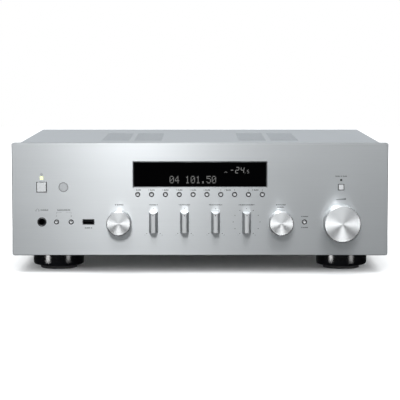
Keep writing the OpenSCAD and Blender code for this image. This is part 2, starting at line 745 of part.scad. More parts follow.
// The amplifier board with its relays and its small capacitors
module amp_board() color("darkgreen") {
    box([amp_x[0], amp_u[0], amp_z], [amp_x[1], amp_u[1], amp_top]);
    for (u = [amp_u[1] - 40, amp_u[1] - 74])
        box([amp_x[1] - 60, u, amp_top], [amp_x[1] - 30, u + 24, amp_top + 20]);
    for (i = [0:4])
        translate([amp_x[1] - 24, y_front + amp_u[0] + 24 + 22 * i, amp_top]) cylinder(r = 6, h = 22);
}

// Upright cans with a rolled groove near the board
module reservoir_capacitors() color("midnightblue") for (u = cans_u) {
    r = can_size[0] / 2;
    h = can_size[1];
    translate([can_x, y_front + u, amp_top]) rotate_extrude()
        polygon([[0, 0], [r, 0], [r, 3], [r - 0.8, 3.6], [r - 0.8, 5], [r, 5.6],
            [r, h - 1.5], [r - 1.5, h], [0, h]]);
}

// The board behind the rear panel, with its cable socket, which the sockets hold
module signal_board() color("darkgreen") {
    x0 = phono_x - 3 * phono_pitch - 12;
    x1 = aerial_at[0] + 18;
    box([x0, signal_u - board_t, cover_under - 64], [x1, signal_u, cover_under - 4]);
    block([ribbon_x, ribbon_z], plug_size, signal_u - board_t - plug_t, signal_u - board_t);
}

// Blocks on the signal board, and phono sockets: flanged cups that pass through the rear panel
module rca_sockets() {
    base = rear_in - 1;
    end = phono_seat + phono_len;
    color("dimgray") for (i = [0:2])
        block([(phonos_at[4 * i][0] + phonos_at[4 * i + 2][0]) / 2, phono_z],
              [2 * phono_pitch, phono_rise + 15], signal_u, base - slip);
    color("silver") for (p = phonos_at)
        turned(p, [[0, -base], [phono_collar_r, -base], [phono_collar_r, -phono_seat],
            [phono_r, -phono_seat], [phono_r, -end], [phono_bore_r, -end],
            [phono_bore_r, -rear_in], [0, -rear_in]]);
}

// The tuner's can with its threaded aerial socket
module aerial_socket() color("silver") {
    block(aerial_at, [30, 26], signal_u, rear_in);
    bar(aerial_at, aerial_r - 0.4, rear_in - over, aerial_seat);
    bar(aerial_at, aerial_r + 2, rear_out, aerial_seat);
    bar(aerial_at, aerial_r, aerial_seat - over / 2, aerial_seat + aerial_len);
}

module network_port() color("silver") difference() {
    block(port_at, port_size, signal_u, rear_out + 0.6);
    block(port_at, port_mouth, rear_out + 0.6 - port_depth, rear_out + 0.6 + over);
}

// The terminal block on the rear panel, with a drilled metal post for each loudspeaker wire
module speaker_terminals() {
    color("black") difference() {
        union() {
            block(terminal_mid, terminal_body, rear_in - 8, rear_out + over);
            block(terminal_mid, terminal_flange, rear_out, terminal_face);
            for (p = terminals_at) bar(p, boss_r, rear_out + over, rear_out + boss_out);
        }
        for (p = terminals_at) bar(p, post_r + run, rear_in - 9, rear_out + boss_out + over);
        for (p = terminal_screws_at) bar(p, screw_hole_r, rear_out - over, terminal_face + over);
    }
    color("gold") for (p = terminals_at) difference() {
        bar(p, post_r, rear_in - 14, case_d + post_reach - 2);
        bar(p, plug_bore_r, case_d + post_reach - 20, case_d + post_reach);
    }
}

// The screwed cap of one terminal
module terminal_cap(i) color(i % 2 == 0 ? "firebrick" : "black") {
    seat = rear_out + boss_out + clear;
    end = case_d + post_reach;
    r = cap_d / 2;
    turned(terminals_at[i], [[post_r + run, -seat], [r - 0.8, -seat], [r, -seat - 0.8], [r, -seat - 6],
        [r - 0.8, -seat - 7], [r - 0.8, 2 - end], [r - 1.8, -end], [post_r + run, -end]]);
}

// A two-pin mains inlet: a flanged body with a rounded mouth
module ac_inlet() {
    bottom = inlet_face - inlet_depth;
    color("black") difference() {
        union() {
            block(inlet_at, inlet_flange, rear_out, inlet_face);
            block(inlet_at, inlet_body, inlet_back, rear_out + over);
        }
        plate(bottom, inlet_face + over) translate(inlet_at) slot(inlet_mouth[0], inlet_mouth[1]);
    }
    color("silver") for (s = [-1, 1])
        bar(inlet_at + [s * inlet_pin_x, 0], inlet_pin_r, bottom, inlet_face - 2);
}

// A pan-head screw with a cross recess: its head stands at the origin towards +Z
module screw(len, r = screw_r, hr = head_r) {
    difference() {
        union() {
            rotate_extrude() polygon([[0, 0], [hr, 0], [hr, head_t * 0.5], [hr * 0.7, head_t], [0, head_t]]);
            translate([0, 0, -len]) cylinder(r = r, h = len + head_t / 2);
        }
        for (a = [0, 90]) rotate([0, 0, a])
            translate([0, 0, head_t]) cube([hr * 1.1, 0.7, 1.8], center = true);
    }
}

// Every screw and nut
module fasteners() color("darkgray") {
    for (s = [-1, 1], u = side_screws_u)
        translate([s * cover_half, y_front + u, side_screw_z]) rotate([0, s * 90, 0]) screw(screw_len);
    for (x = lip_screws_x) facing([x, lip_screw_z], case_d) rotate([180, 0, 0]) screw(screw_len);
    for (p = terminal_screws_at) facing(p, terminal_face) rotate([180, 0, 0]) screw(screw_len);
    for (at = corner_screws_at) facing(place(at), frame_back) rotate([180, 0, 0])
        screw(frame_back - 2, screw_r - slip / 2);
    at_feet() translate([0, 0, foot_h - foot_web]) rotate([180, 0, 0])
        screw(foot_web + sheet_t + 5, foot_screw_r, foot_head_r);
    for (at = knobs_at) difference() {
        facing(place(at), panel_t) cylinder(r = nut_r, h = nut_t, $fn = 6);
        bar(place(at), bushing_r + run, -over, panel_t + over);
    }
}

front_panel();
front_frame();
display_window();
display_tube();
indicator_lamps();
sensor_window();
phones_jack();
usb_port();
front_board();
rotary_controls();
front_switches();
bottom_chassis();
top_cover();
rear_panel();
feet();
foot_pads();
transformer();
wiring();
heat_sink();
output_transistors();
amp_board();
reservoir_capacitors();
signal_board();
rca_sockets();
aerial_socket();
network_port();
speaker_terminals();
ac_inlet();
fasteners();
power_button();
round_button(speaker_a_at);  // speaker_a_button
round_button(speaker_b_at);  // speaker_b_button
round_button(return_at);  // return_button
direct_button();
round_knob(input_at, selector_d, selector_reach);  // input_knob
bar_knob(bass_at);  // bass_knob
bar_knob(treble_at);  // treble_knob
bar_knob(balance_at);  // balance_knob
bar_knob(loudness_at);  // loudness_knob
round_knob(select_at, selector_d, selector_reach, false);  // select_knob
round_knob(volume_at, volume_d, knob_reach);  // volume_knob
select_rotor();
for (i = [0:9]) round_button(function_at(i));
for (i = [0:7]) terminal_cap(i);
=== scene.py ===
"""Stereo receiver: knobs, buttons, feet, sockets, marks, finishes and a studio over its frame."""
import json
import math
import bpy
from bpy.props import (FloatProperty, FloatVectorProperty, IntProperty, PointerProperty,
                       StringProperty)
from mathutils import Matrix, Vector

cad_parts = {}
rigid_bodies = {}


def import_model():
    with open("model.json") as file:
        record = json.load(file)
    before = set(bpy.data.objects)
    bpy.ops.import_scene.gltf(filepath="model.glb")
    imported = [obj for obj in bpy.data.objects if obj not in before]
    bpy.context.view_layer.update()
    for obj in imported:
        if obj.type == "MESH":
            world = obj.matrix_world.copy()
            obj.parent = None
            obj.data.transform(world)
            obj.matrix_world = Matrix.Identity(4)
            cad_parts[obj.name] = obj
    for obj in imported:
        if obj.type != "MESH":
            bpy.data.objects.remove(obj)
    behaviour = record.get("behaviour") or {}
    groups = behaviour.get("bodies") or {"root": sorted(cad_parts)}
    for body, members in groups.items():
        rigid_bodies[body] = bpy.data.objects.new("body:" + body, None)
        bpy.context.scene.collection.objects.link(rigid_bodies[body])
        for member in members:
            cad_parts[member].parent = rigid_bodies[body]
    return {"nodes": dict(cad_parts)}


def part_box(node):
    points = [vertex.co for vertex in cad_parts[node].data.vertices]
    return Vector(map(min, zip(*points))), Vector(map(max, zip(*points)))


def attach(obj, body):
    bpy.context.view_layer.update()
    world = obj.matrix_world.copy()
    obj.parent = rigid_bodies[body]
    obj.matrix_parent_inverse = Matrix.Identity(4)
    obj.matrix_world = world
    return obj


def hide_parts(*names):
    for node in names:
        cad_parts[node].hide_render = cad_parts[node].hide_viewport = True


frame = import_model()

bl_info = {
    "name": "Stereo Receiver",
    "version": (1, 0, 0),
    "blender": (4, 5, 0),
    "location": "View3D > Sidebar > Receiver",
    "description": "Knobs, buttons, feet, sockets, marks and finishes for a stereo receiver",
    "category": "Object",
}

# +Z is up, and the front faces -Y. Sizes are in metres, unless they are said to be millimetres.
MM = 0.001
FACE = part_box("front_panel")[0].y
FUNCTIONS = ["dimmer", "display", "mode", "memory", "clear", "band",
             "preset_down", "preset_up", "tuning_down", "tuning_up"]
SMALL_BUTTONS = [name + "_button" for name in FUNCTIONS + ["speaker_a", "speaker_b", "return"]]
TONE_KNOBS = ["bass_knob", "treble_knob", "balance_knob", "loudness_knob"]
ROUND_KNOBS = ["input_knob", "select_knob", "volume_knob"]
CAPS = [f"terminal_cap_{i}" for i in range(1, 9)]
# Millimetres
KNOB_GAP = 0.8                                  # from a knob's back to the panel's face
FLANGE = 5.2                                    # from the panel's face to a button's flange
SQUARE_BUTTONS = {"power_button": (10.8, 3.0), "direct_button": (6.0, 1.5)}   # side, stem radius
BAR_FOOT, BAR_FACE = (10.4, 24.6), (5.3, 22.8)  # width and height of a tone knob, back and face
PHONO_X, PHONO_Z = (-106.4, -92.4, -74.4, -60.4, -42.4, -28.4), (102.8, 122.8)
AERIAL = (47.85, 116.8)
# Metres
CAMERA = (0, -2.066, 0.2685)
AIM = (0, -0.17, 0.08)
STRIP_REACH = 2.3


def length(name, description, millimetres, low=0.0):
    """A size that is kept in metres and shown in the scene's units."""
    return FloatProperty(name=name, description=description, default=millimetres * MM,
                         min=low * MM, unit="LENGTH", subtype="DISTANCE", precision=5)


def colour(name, description, *shade):
    return FloatVectorProperty(name=name, description=description, default=shade, size=3,
                               min=0, max=1, subtype="COLOR")


class ReceiverSizes(bpy.types.PropertyGroup):
    """Sizes of the detail that the frame leaves plain"""
    knob_chamfer: length("Knob chamfer", "Width of the bright edge round a knob's face", 0.55)
    bar_edge: length("Bar knob edge", "Radius of the edges of a tone knob", 0.22)
    button_edge: length("Button edge", "Radius of the edge of a small button's cap", 0.35)
    mark_thickness: length("Mark thickness", "Thickness of the printed marks", 0.02)
    mark_width: length("Mark line", "Width of a printed line", 0.22)
    groove_depth: length("Foot groove", "Depth of the fine groove round each foot", 0.25)
    rib_depth: length("Cap rib", "Depth of the ribs of a terminal cap", 0.5)
    ribs: IntProperty(name="Cap ribs", description="Number of ribs round a terminal cap",
                      default=28, min=8, max=60)
    readout: StringProperty(name="Readout", description="Figures on the display",
                            default="04 101.50")


class ReceiverColours(bpy.types.PropertyGroup):
    """Colours of the finishes"""
    panel: colour("Panel", "Anodised aluminium of the front panel", 0.80, 0.83, 0.85)
    knob: colour("Knobs", "Aluminium of the knobs", 0.84, 0.86, 0.875)
    cover: colour("Cover", "Silver paint of the cover", 0.34, 0.365, 0.39)
    rear: colour("Rear panel", "Grey paint of the rear panel", 0.085, 0.088, 0.095)
    zinc: colour("Zinc plate", "Plated sheet of the chassis", 0.50, 0.52, 0.53)
    black: colour("Black plastic", "Moulded plastic of feet and sockets", 0.001, 0.0011, 0.0015)
    ink: colour("Ink", "Printed marks on the front", 0.022, 0.024, 0.027)
    rear_ink: colour("Rear ink", "Printed marks on the back", 0.62, 0.64, 0.66)
    glow: colour("Readout", "Lit figures of the display", 0.19, 0.19, 0.185)
    lamp: colour("Power lamp", "Light of the power lamp", 0.58, 0.64, 0.36)
    red: colour("Red caps", "Caps and rings of the right channel", 0.42, 0.012, 0.014)


def level(name, description, amount, **more):
    return FloatProperty(name=name, description=description, default=amount, min=0, **more)


class ReceiverStudio(bpy.types.PropertyGroup):
    """Light and camera"""
    lens: FloatProperty(name="Lens", description="Focal length of the camera", default=148.2,
                        min=10, unit="CAMERA")
    key: level("Key light", "Power of the softbox over the camera", 4.8, unit="POWER")
    sides: level("Side lights", "Power of the two tall strips", 145, unit="POWER")
    top: level("Top light", "Power of the light over the receiver", 62, unit="POWER")
    brow: level("Front strip", "Power of the strip before the panel's top edge", 1.6, unit="POWER")
    cards: level("Knob cards", "Brightness of the cards that the round knobs mirror", 2.5)
    trim: level("Trim card", "Brightness of the card that bars and buttons mirror", 0.9)
    fill: level("Fill", "Brightness of the room on surfaces without gloss", 1.25)
    room: level("Room", "Brightness of the room that gloss mirrors", 0.83)


def sizes():
    return bpy.context.scene.receiver_sizes


def colours():
    return bpy.context.scene.receiver_colours


def overload(operation, turned=False):
    """An operator of Value that adds a Math node, with its terms turned round if asked."""
    def method(self, *other):
        terms = (*other, self) if turned else (self, *other)
        return self.nodes.node("Math", {"operation": operation}, *terms)
    return method


class Value:
    """One output of a finish's nodes. Arithmetic on it adds Math nodes."""

    def __init__(self, nodes, socket):
        self.nodes, self.socket = nodes, socket

    __add__ = __radd__ = overload("ADD")
    __mul__ = __rmul__ = overload("MULTIPLY")
    __sub__, __rsub__ = overload("SUBTRACT"), overload("SUBTRACT", turned=True)
    __lt__, __gt__ = overload("LESS_THAN"), overload("GREATER_THAN")
    __abs__ = overload("ABSOLUTE")


class Nodes:
    """A node tree that is built by calls."""

    def __init__(self, tree):
        self.tree = tree

    def fill(self, socket, value):
        if isinstance(value, Value):
            self.tree.links.new(value.socket, socket)
        elif socket.type == "RGBA":
            socket.default_value = (*value, 1) if len(value) == 3 else value
        else:
            socket.default_value = value

    def node(self, kind, settings, *values, out=0, **named):
        """Adds a node: its settings first, then its sockets, in order or by name."""
        made = self.tree.nodes.new("ShaderNode" + kind)
        for name, value in settings.items():
            setattr(made, name, value)
        for socket, value in zip(made.inputs, values):
            self.fill(socket, value)
        for name, value in named.items():
            self.fill(made.inputs[name.replace("_", " ")], value)
        return Value(self, made.outputs[out])

    def mix(self, factor, first, second):
        """Goes from one colour to another."""
        made = self.tree.nodes.new("ShaderNodeMix")
        made.data_type = "RGBA"
        for socket, value in ((0, factor), (6, first), (7, second)):
            self.fill(made.inputs[socket], value)
        return Value(self, made.outputs[2])

    def axis(self, vector, letter):
        return self.node("SeparateXYZ", {}, vector, out=letter)


class Finish(Nodes):
    """A material: one Principled shader, with patterns on the object's own coordinates."""

    def __init__(self, name, **constants):
        self.material = bpy.data.materials.new(name)
        self.material.use_nodes = True
        super().__init__(self.material.node_tree)
        self.shader = self.tree.nodes["Principled BSDF"]
        self.place = self.node("TexCoord", {}, out="Object")
        self.feed(**constants)

    def feed(self, **sockets):
        for name, value in sockets.items():
            self.fill(self.shader.inputs[name.replace("_", " ")], value)
        return self

    def noise(self, scale, stretch=(1, 1, 1), detail=2.0):
        """Cloudy values about a half, with scale patches to a metre, stretched by each axis."""
        stretched = self.node("VectorMath", {"operation": "MULTIPLY"}, self.place, stretch)
        return self.node("TexNoise", {}, Vector=stretched, Scale=scale, Detail=detail)

    def lines(self, along, pitch, detail=2.0):
        """Irregular lines across one measure, about a pitch apart."""
        return self.node("TexNoise", {"noise_dimensions": "1D"},
                         W=along, Scale=1 / pitch, Detail=detail)

    def offset(self, at):
        return self.node("VectorMath", {"operation": "SUBTRACT"}, self.place, (at[0], 0, at[1]))

    def radius(self, at):
        """The way from a line through a point of the front, straight back, and its length."""
        way = self.node("VectorMath", {"operation": "MULTIPLY"}, self.offset(at), (1, 0, 1))
        return way, self.node("VectorMath", {"operation": "LENGTH"}, way, out="Value")

    def near(self, at, radius):
        """1 within a radius of a point of the front, and 0 outside."""
        return self.radius(at)[1] < radius * MM

    def within(self, at, *half):
        """1 inside a rectangle round a point of the front, and 0 outside."""
        beside, below = (abs(self.axis(self.offset(at), letter)) < size * MM
                         for letter, size in zip("XZ", half))
        return beside * below

    def lean(self, direction, amount):
        """Leans the surface's normal along a direction of the object."""
        world = self.node("VectorTransform", {"vector_type": "VECTOR", "convert_from": "OBJECT",
                                              "convert_to": "WORLD"}, direction)
        unit = self.node("VectorMath", {"operation": "NORMALIZE"}, world)
        step = self.node("VectorMath", {"operation": "SCALE"}, unit, Scale=amount)
        normal = self.node("NewGeometry", {}, out="Normal")
        total = self.node("VectorMath", {"operation": "ADD"}, normal, step)
        return self.feed(Normal=self.node("VectorMath", {"operation": "NORMALIZE"}, total))

    def bump(self, height, distance, strength=1.0):
        return self.feed(Normal=self.node("Bump", {}, Height=height, Distance=distance,
                                          Strength=strength))

    def tint(self, pattern, tone, spread):
        """A tone that a pattern makes lighter and darker."""
        return self.mix(pattern, *([min(1, c * (1 + s * spread)) for c in tone] for s in (-1, 1)))

    def shade(self, pattern, tone, spread):
        return self.feed(Base_Color=self.tint(pattern, tone, spread))


# Finishes

def brushed_panel():
    """Anodised aluminium, brushed from side to side."""
    made = Finish("brushed_aluminium", Metallic=1.0, Anisotropic=0.87, Anisotropic_Rotation=0.25)
    brush = made.noise(1, (14, 14, 5200), 3)
    cloud = made.noise(1, (5, 5, 9))
    tone = colours().panel
    # Painted shade: all of the panel behind its face, bevels and hole walls, is painted darker to
    # dim its highlight, and is rougher
    painted_shade_edges = made.axis(made.place, "Y") > FACE + 0.04 * MM
    skin = made.tint(brush * 0.7 + cloud * 0.3, tone, 0.055)
    made.feed(Base_Color=made.mix(painted_shade_edges, skin, [c * 0.72 for c in tone]),
              Roughness=0.245 + brush * 0.08 + cloud * 0.04 + painted_shade_edges * 0.1)
    return made.bump(brush, 4e-6).material


def turned_face(name, at):
    """The face of a knob, turned so that each groove runs round the middle."""
    made = Finish(name, Metallic=1.0)
    way, radius = made.radius(at)
    groove = made.lines(radius, 0.0011, 2)
    cloud = made.noise(120)
    made.shade(cloud, colours().knob, 0.03)
    made.feed(Roughness=0.2 + cloud * 0.03 + groove * 0.04)
    return made.lean(way, 0.115 + (groove - 0.5) * 0.05).material


def turned_side():
    """The side of a knob, with fine grooves round it."""
    made = Finish("turned_side", Metallic=1.0)
    groove = made.lines(made.axis(made.place, "Y"), 0.00022, 3)
    made.shade(groove, colours().knob, 0.06)
    made.feed(Roughness=0.25 + groove * 0.1)
    return made.lean((0, 1, 0), (groove - 0.5) * 0.5).material


def bar_metal():
    """Aluminium of the tone knobs, brushed along the bar."""
    made = Finish("bar_aluminium", Metallic=1.0)
    brush = made.noise(1, (4200, 900, 30), 3)
    made.shade(brush, colours().knob, 0.05)
    made.feed(Roughness=0.26 + brush * 0.1)
    return made.bump(brush, 6e-6).material


def satin_metal(name, tone, roughness=0.3, grain=2600, bump=4e-6):
    """Blasted or plated metal with a fine even grain."""
    made = Finish(name, Metallic=1.0)
    grit = made.noise(grain, detail=3)
    cloud = made.noise(60)
    made.shade(grit * 0.5 + cloud * 0.5, tone, 0.07)
    made.feed(Roughness=roughness - 0.05 + grit * 0.06 + cloud * 0.05)
    return made.bump(grit, bump).material


def painted_sheet(name, tone, metallic, roughness):
    """Stoved paint on sheet steel, with a fine orange peel."""
    made = Finish(name, Metallic=metallic)
    peel = made.noise(1500)
    cloud = made.noise(14, detail=3)
    made.shade(peel * 0.35 + cloud * 0.65, tone, 0.06)
    made.feed(Roughness=roughness - 0.05 + peel * 0.1)
    return made.bump(peel, 3e-5, 0.35).material


def moulded(name, tone, roughness=0.3, grain=2200, bump=1e-5, **extra):
    """Moulded plastic, glass or rubber with a slight grain."""
    made = Finish(name, **extra)
    grit = made.noise(grain)
    cloud = made.noise(90)
    made.shade(grit * 0.5 + cloud * 0.5, tone, 0.1)
    made.feed(Roughness=roughness - 0.02 + cloud * 0.05)
    return made.bump(grit, bump, 0.5).material


def two_tone(name, first, second, mask, rough, metallic, **extra):
    """Two materials on one node. A function makes the mask of the second from the finish."""
    made = Finish(name, **extra)
    part = mask(made)
    grit = made.noise(1800, detail=3)
    tones = [made.tint(grit, tone, 0.08) for tone in (first, second)]
    made.feed(Base_Color=made.mix(part, *tones),
              Roughness=rough[0] + part * (rough[1] - rough[0]) + grit * 0.05,
              Metallic=metallic[0] + part * (metallic[1] - metallic[0]))
    return made.bump(grit, 1e-5, 0.4).material


def coat(piece, material):
    piece.data.materials.clear()
    piece.data.materials.append(material)


def dress(node, material):
    """Gives a node of the frame its finish."""
    coat(frame["nodes"][node], material)


# Modelling

def to_mode(mode):
    if bpy.context.object and bpy.context.object.mode != mode:
        bpy.ops.object.mode_set(mode=mode)


def start_clean():
    """Leaves nothing selected, in object mode."""
    to_mode("OBJECT")
    bpy.ops.object.select_all(action="DESELECT")


def pick(test):
    """Selects the vertices of the piece in hand whose place passes a test."""
    bpy.ops.mesh.select_all(action="DESELECT")
    to_mode("OBJECT")
    for vertex in bpy.context.object.data.vertices:
        vertex.select = test(bpy.context.object.matrix_world @ vertex.co)
    to_mode("EDIT")


def finish_piece(name, *materials, smooth=32):
    """Ends the piece in hand: place into the mesh, faces outwards, name and materials set."""
    to_mode("OBJECT")
    bpy.ops.object.transform_apply(location=True, rotation=True, scale=True)
    to_mode("EDIT")
    bpy.ops.mesh.select_all(action="SELECT")
    bpy.ops.mesh.normals_make_consistent(inside=False)
    to_mode("OBJECT")
    bpy.ops.object.shade_smooth_by_angle(angle=math.radians(smooth))
    piece = bpy.context.object
    piece.name = piece.data.name = name
    for material in materials:
        piece.data.materials.append(material)
    piece.select_set(False)
    return piece


def join(parts, name):
    """Joins pieces into the first of them and names it."""
    start_clean()
    for part in parts:
        part.select_set(True)
    bpy.context.view_layer.objects.active = parts[0]
    if len(parts) > 1:
        bpy.ops.object.join()
    parts[0].name = parts[0].data.name = name
    return parts[0]


def thicken(thickness):
    """Gives the open surface in hand a wall, half of it to each side."""
    piece = bpy.context.object
    wall = piece.modifiers.new("wall", "SOLIDIFY")
    wall.thickness, wall.offset = thickness, 0
    bpy.ops.object.modifier_apply(modifier=wall.name)


def hold(piece, body, slot, *nodes):
    """Ties a piece to its body and hides the nodes that it stands for. The slot is not used."""
    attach(piece, body)
    if nodes:
        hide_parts(*nodes)


def paint_faces(piece, slot, test):
    """Gives the faces whose middle passes a test one of the piece's materials."""
    for face in piece.data.polygons:
        if test(face.center):
            face.material_index = slot


def twin(piece, name, shift):
    """A copy of a piece, with its own mesh, moved by a shift."""
    made = piece.copy()
    made.data = piece.data.copy()
    made.name = made.data.name = name
    made.data.transform(Matrix.Translation(shift))
    bpy.context.collection.objects.link(made)
    return made


def spread(piece, names, ending, *kinds):
    """Puts twins of a piece at all nodes but the first. Each stands for its node.

    The kinds are slots and materials, in turn. Where no material is given, the piece's stay."""
    x, z = middle(names[0])
    made = [piece] + [twin(piece, name + ending, (middle(name)[0] - x, 0, middle(name)[1] - z))
                      for name in names[1:]]
    for i, (one, name) in enumerate(zip(made, names)):
        slot, material = kinds[i % len(kinds)]
        if material:
            coat(one, material)
        hold(one, name, slot, name)


def turn(at, profile, sides=96, upright=False):
    """Turns a closed profile of (radius, place on the axis) points, by extruding a disc.

    The profile is in millimetres. Its axis runs from front to back, or upwards."""
    start_clean()
    (radius, place), *rest = profile

    def along(where, across=(0, 0)):
        where *= MM
        return (*across, where) if upright else (across[0], where, across[1])
    bpy.ops.mesh.primitive_circle_add(
        vertices=sides, radius=radius * MM, fill_type="NGON", location=along(place, at),
        rotation=(0 if upright else math.pi / 2, 0, 0), enter_editmode=True)
    for wide, where in rest:
        bpy.ops.mesh.extrude_region_move(TRANSFORM_OT_translate={"value": along(where - place)})
        grow = wide / radius
        bpy.ops.transform.resize(value=(grow, grow, 1) if upright else (grow, 1, grow),
                                 center_override=along(where, at))
        radius, place = wide, where


def add_circle(at, face, radius, sides):
    bpy.ops.mesh.primitive_circle_add(vertices=sides, radius=radius, location=(at[0], face, at[1]),
                                      rotation=(math.pi / 2, 0, 0))
    to_mode("EDIT")


def grow_rim(at, *steps):
    """Extrudes the selected loop back by each step's move, in millimetres, and widens it."""
    for move, ratio in steps:
        bpy.ops.mesh.extrude_edges_move(TRANSFORM_OT_translate={"value": (0, move * MM, 0)})
        resize(ratio, ratio, (at[0], 0, at[1]))


def add_block(at, size, front, back):
    """Adds a block of a size in millimetres. It is left selected, ready to be shaped."""
    centre = (at[0], (front + back) / 2 * MM, at[1])
    bpy.ops.mesh.primitive_cube_add(size=MM, location=centre)
    to_mode("EDIT")
    bpy.ops.transform.resize(value=(size[0], back - front, size[1]), center_override=centre)


def resize(wide, tall, centre):
    """Scales the selection across and up, from a centre."""
    bpy.ops.transform.resize(value=(wide, 1, tall), center_override=centre)


def round_edges(width, segments):
    bpy.ops.mesh.bevel(offset=width, segments=segments, affect="EDGES")


def middle(node):
    """The middle of a node as the front shows it, in metres."""
    low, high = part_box(node)
    return (low.x + high.x) / 2, (low.z + high.z) / 2


def between(left, right):
    return (middle(left)[0] + middle(right)[0]) / 2, middle(left)[1]


def depths(node):
    """Half a node's width, and its front and back, in millimetres."""
    low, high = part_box(node)
    return (high.x - low.x) / 2 / MM, low.y / MM, high.y / MM


class Print:
    """Marks printed on a flat face. They are drawn in one mesh and thickened at the end.

    Places and sizes are in millimetres, and count from the point that at() sets."""

    def __init__(self, face, back=False):
        start_clean()
        self.y = face + sizes().mark_thickness * (1.5 if back else -1.5)
        self.turned = (math.pi / 2, 0, math.pi if back else 0)
        self.line = sizes().mark_width / MM
        self.texts = []
        bpy.ops.mesh.primitive_plane_add(size=MM)
        self.piece = bpy.context.object
        to_mode("EDIT")
        bpy.ops.mesh.select_all(action="SELECT")
        bpy.ops.mesh.delete(type="VERT")

    def at(self, place):
        """Counts from the middle of a node, or from a place in metres."""
        self.x, self.z = middle(place) if isinstance(place, str) else place

    def point(self, x, z):
        return self.x + x * MM, self.y, self.z + z * MM

    def tilt(self, point, angle):
        if angle:
            bpy.ops.transform.rotate(value=math.radians(angle), orient_axis="Y",
                                     center_override=point)

    def bar(self, x, z, long, wide, angle=0.0):
        """A bar at an angle above the +X direction, in degrees."""
        point = self.point(x, z)
        bpy.ops.mesh.primitive_plane_add(size=MM, location=point, rotation=self.turned)
        resize(long, wide, point)
        self.tilt(point, angle)

    def disc(self, x, z, radius, sides, angle=0.0):
        point = self.point(x, z)
        bpy.ops.mesh.primitive_circle_add(vertices=sides, radius=radius * MM, fill_type="NGON",
                                          location=point, rotation=self.turned)
        self.tilt(point, angle)

    def arrow(self, x, z, radius, angle):
        """An arrowhead, turned from pointing up."""
        self.disc(x, z, radius, 3, angle)

    def stroke(self, points, width=None):
        width = width or self.line
        for (x0, z0), (x1, z1) in zip(points, points[1:]):
            self.bar((x0 + x1) / 2, (z0 + z1) / 2, math.hypot(x1 - x0, z1 - z0) + width * 0.6,
                     width, math.degrees(math.atan2(z1 - z0, x1 - x0)))

    def ring(self, x, z, radius, width, start=0, stop=360, steps=16):
        """A ring, or an arc between two angles that are counted from +X."""
        angles = [math.radians(start + (stop - start) * i / steps) for i in range(steps + 1)]
        self.stroke([(x + radius * math.cos(a), z + radius * math.sin(a)) for a in angles], width)

    def strip(self, x, z, long, tall=1.35):
        """A row of small blocks, high and low in turn."""
        count = max(2, round(long / 1.25))
        for i in range(count):
            high = tall * (1.0, 0.72, 1.0, 0.86)[i % 4]
            self.bar(x + (i - (count - 1) / 2) * long / count, z + (high - tall) / 2, 0.82, high)

    def figures(self, text, x, z, height):
        self.texts.append((text, self.point(x, z), height * MM))

    def end(self, name, material, slot):
        parts = [self.piece]
        for text, point, height in self.texts:
            start_clean()
            bpy.ops.object.text_add()
            made = bpy.context.object.data
            made.body, made.size, made.resolution_u = text, height / 0.7, 3
            made.align_x = made.align_y = "CENTER"
            bpy.ops.object.convert(target="MESH")
            made = bpy.context.object
            made.rotation_euler, made.location = self.turned, point
            bpy.ops.object.transform_apply(location=True, rotation=True, scale=True)
            parts.append(made)
        join(parts, name)
        thicken(sizes().mark_thickness)
        self.piece.data.materials.append(material)
        hold(self.piece, "receiver", slot)


# Pieces

# A figure's seven rows of five dots, as hexadecimal numbers
DIGITS = {
    "0": "0E 11 13 15 19 11 0E", "1": "04 0C 04 04 04 04 0E", "2": "0E 11 01 02 04 08 1F",
    "3": "1F 02 04 02 01 11 0E", "4": "02 06 0A 12 1F 02 02", "5": "1F 10 1E 01 01 11 0E",
    "6": "06 08 10 1E 11 11 0E", "7": "1F 01 02 04 08 08 08", "8": "0E 11 11 0E 11 11 0E",
    "9": "0E 11 11 0F 01 02 0C", ".": "00 00 00 00 00 0C 0C",
}
SEGMENTS = {"2": "abged", "4": "fgbc", "5": "afgcd", "-": "g"}


class RECEIVER_OT_metalwork(bpy.types.Operator):
    """Finish the front panel, the cover, the back and the chassis"""
    bl_idname = "receiver.metalwork"
    bl_label = "Metalwork"

    def execute(self, context):
        shade = colours()
        dress("front_panel", brushed_panel())
        dress("top_cover", painted_sheet("silver_paint", shade.cover, 0.45, 0.4))
        dress("rear_panel", painted_sheet("grey_paint", shade.rear, 0.1, 0.45))
        zinc = satin_metal("zinc_plate", shade.zinc, 0.42, 700, 1e-5)
        for node in ("bottom_chassis", "front_frame"):
            dress(node, zinc)
        dress("fasteners", satin_metal("dark_zinc", (0.33, 0.34, 0.36), 0.32))
        return {"FINISHED"}


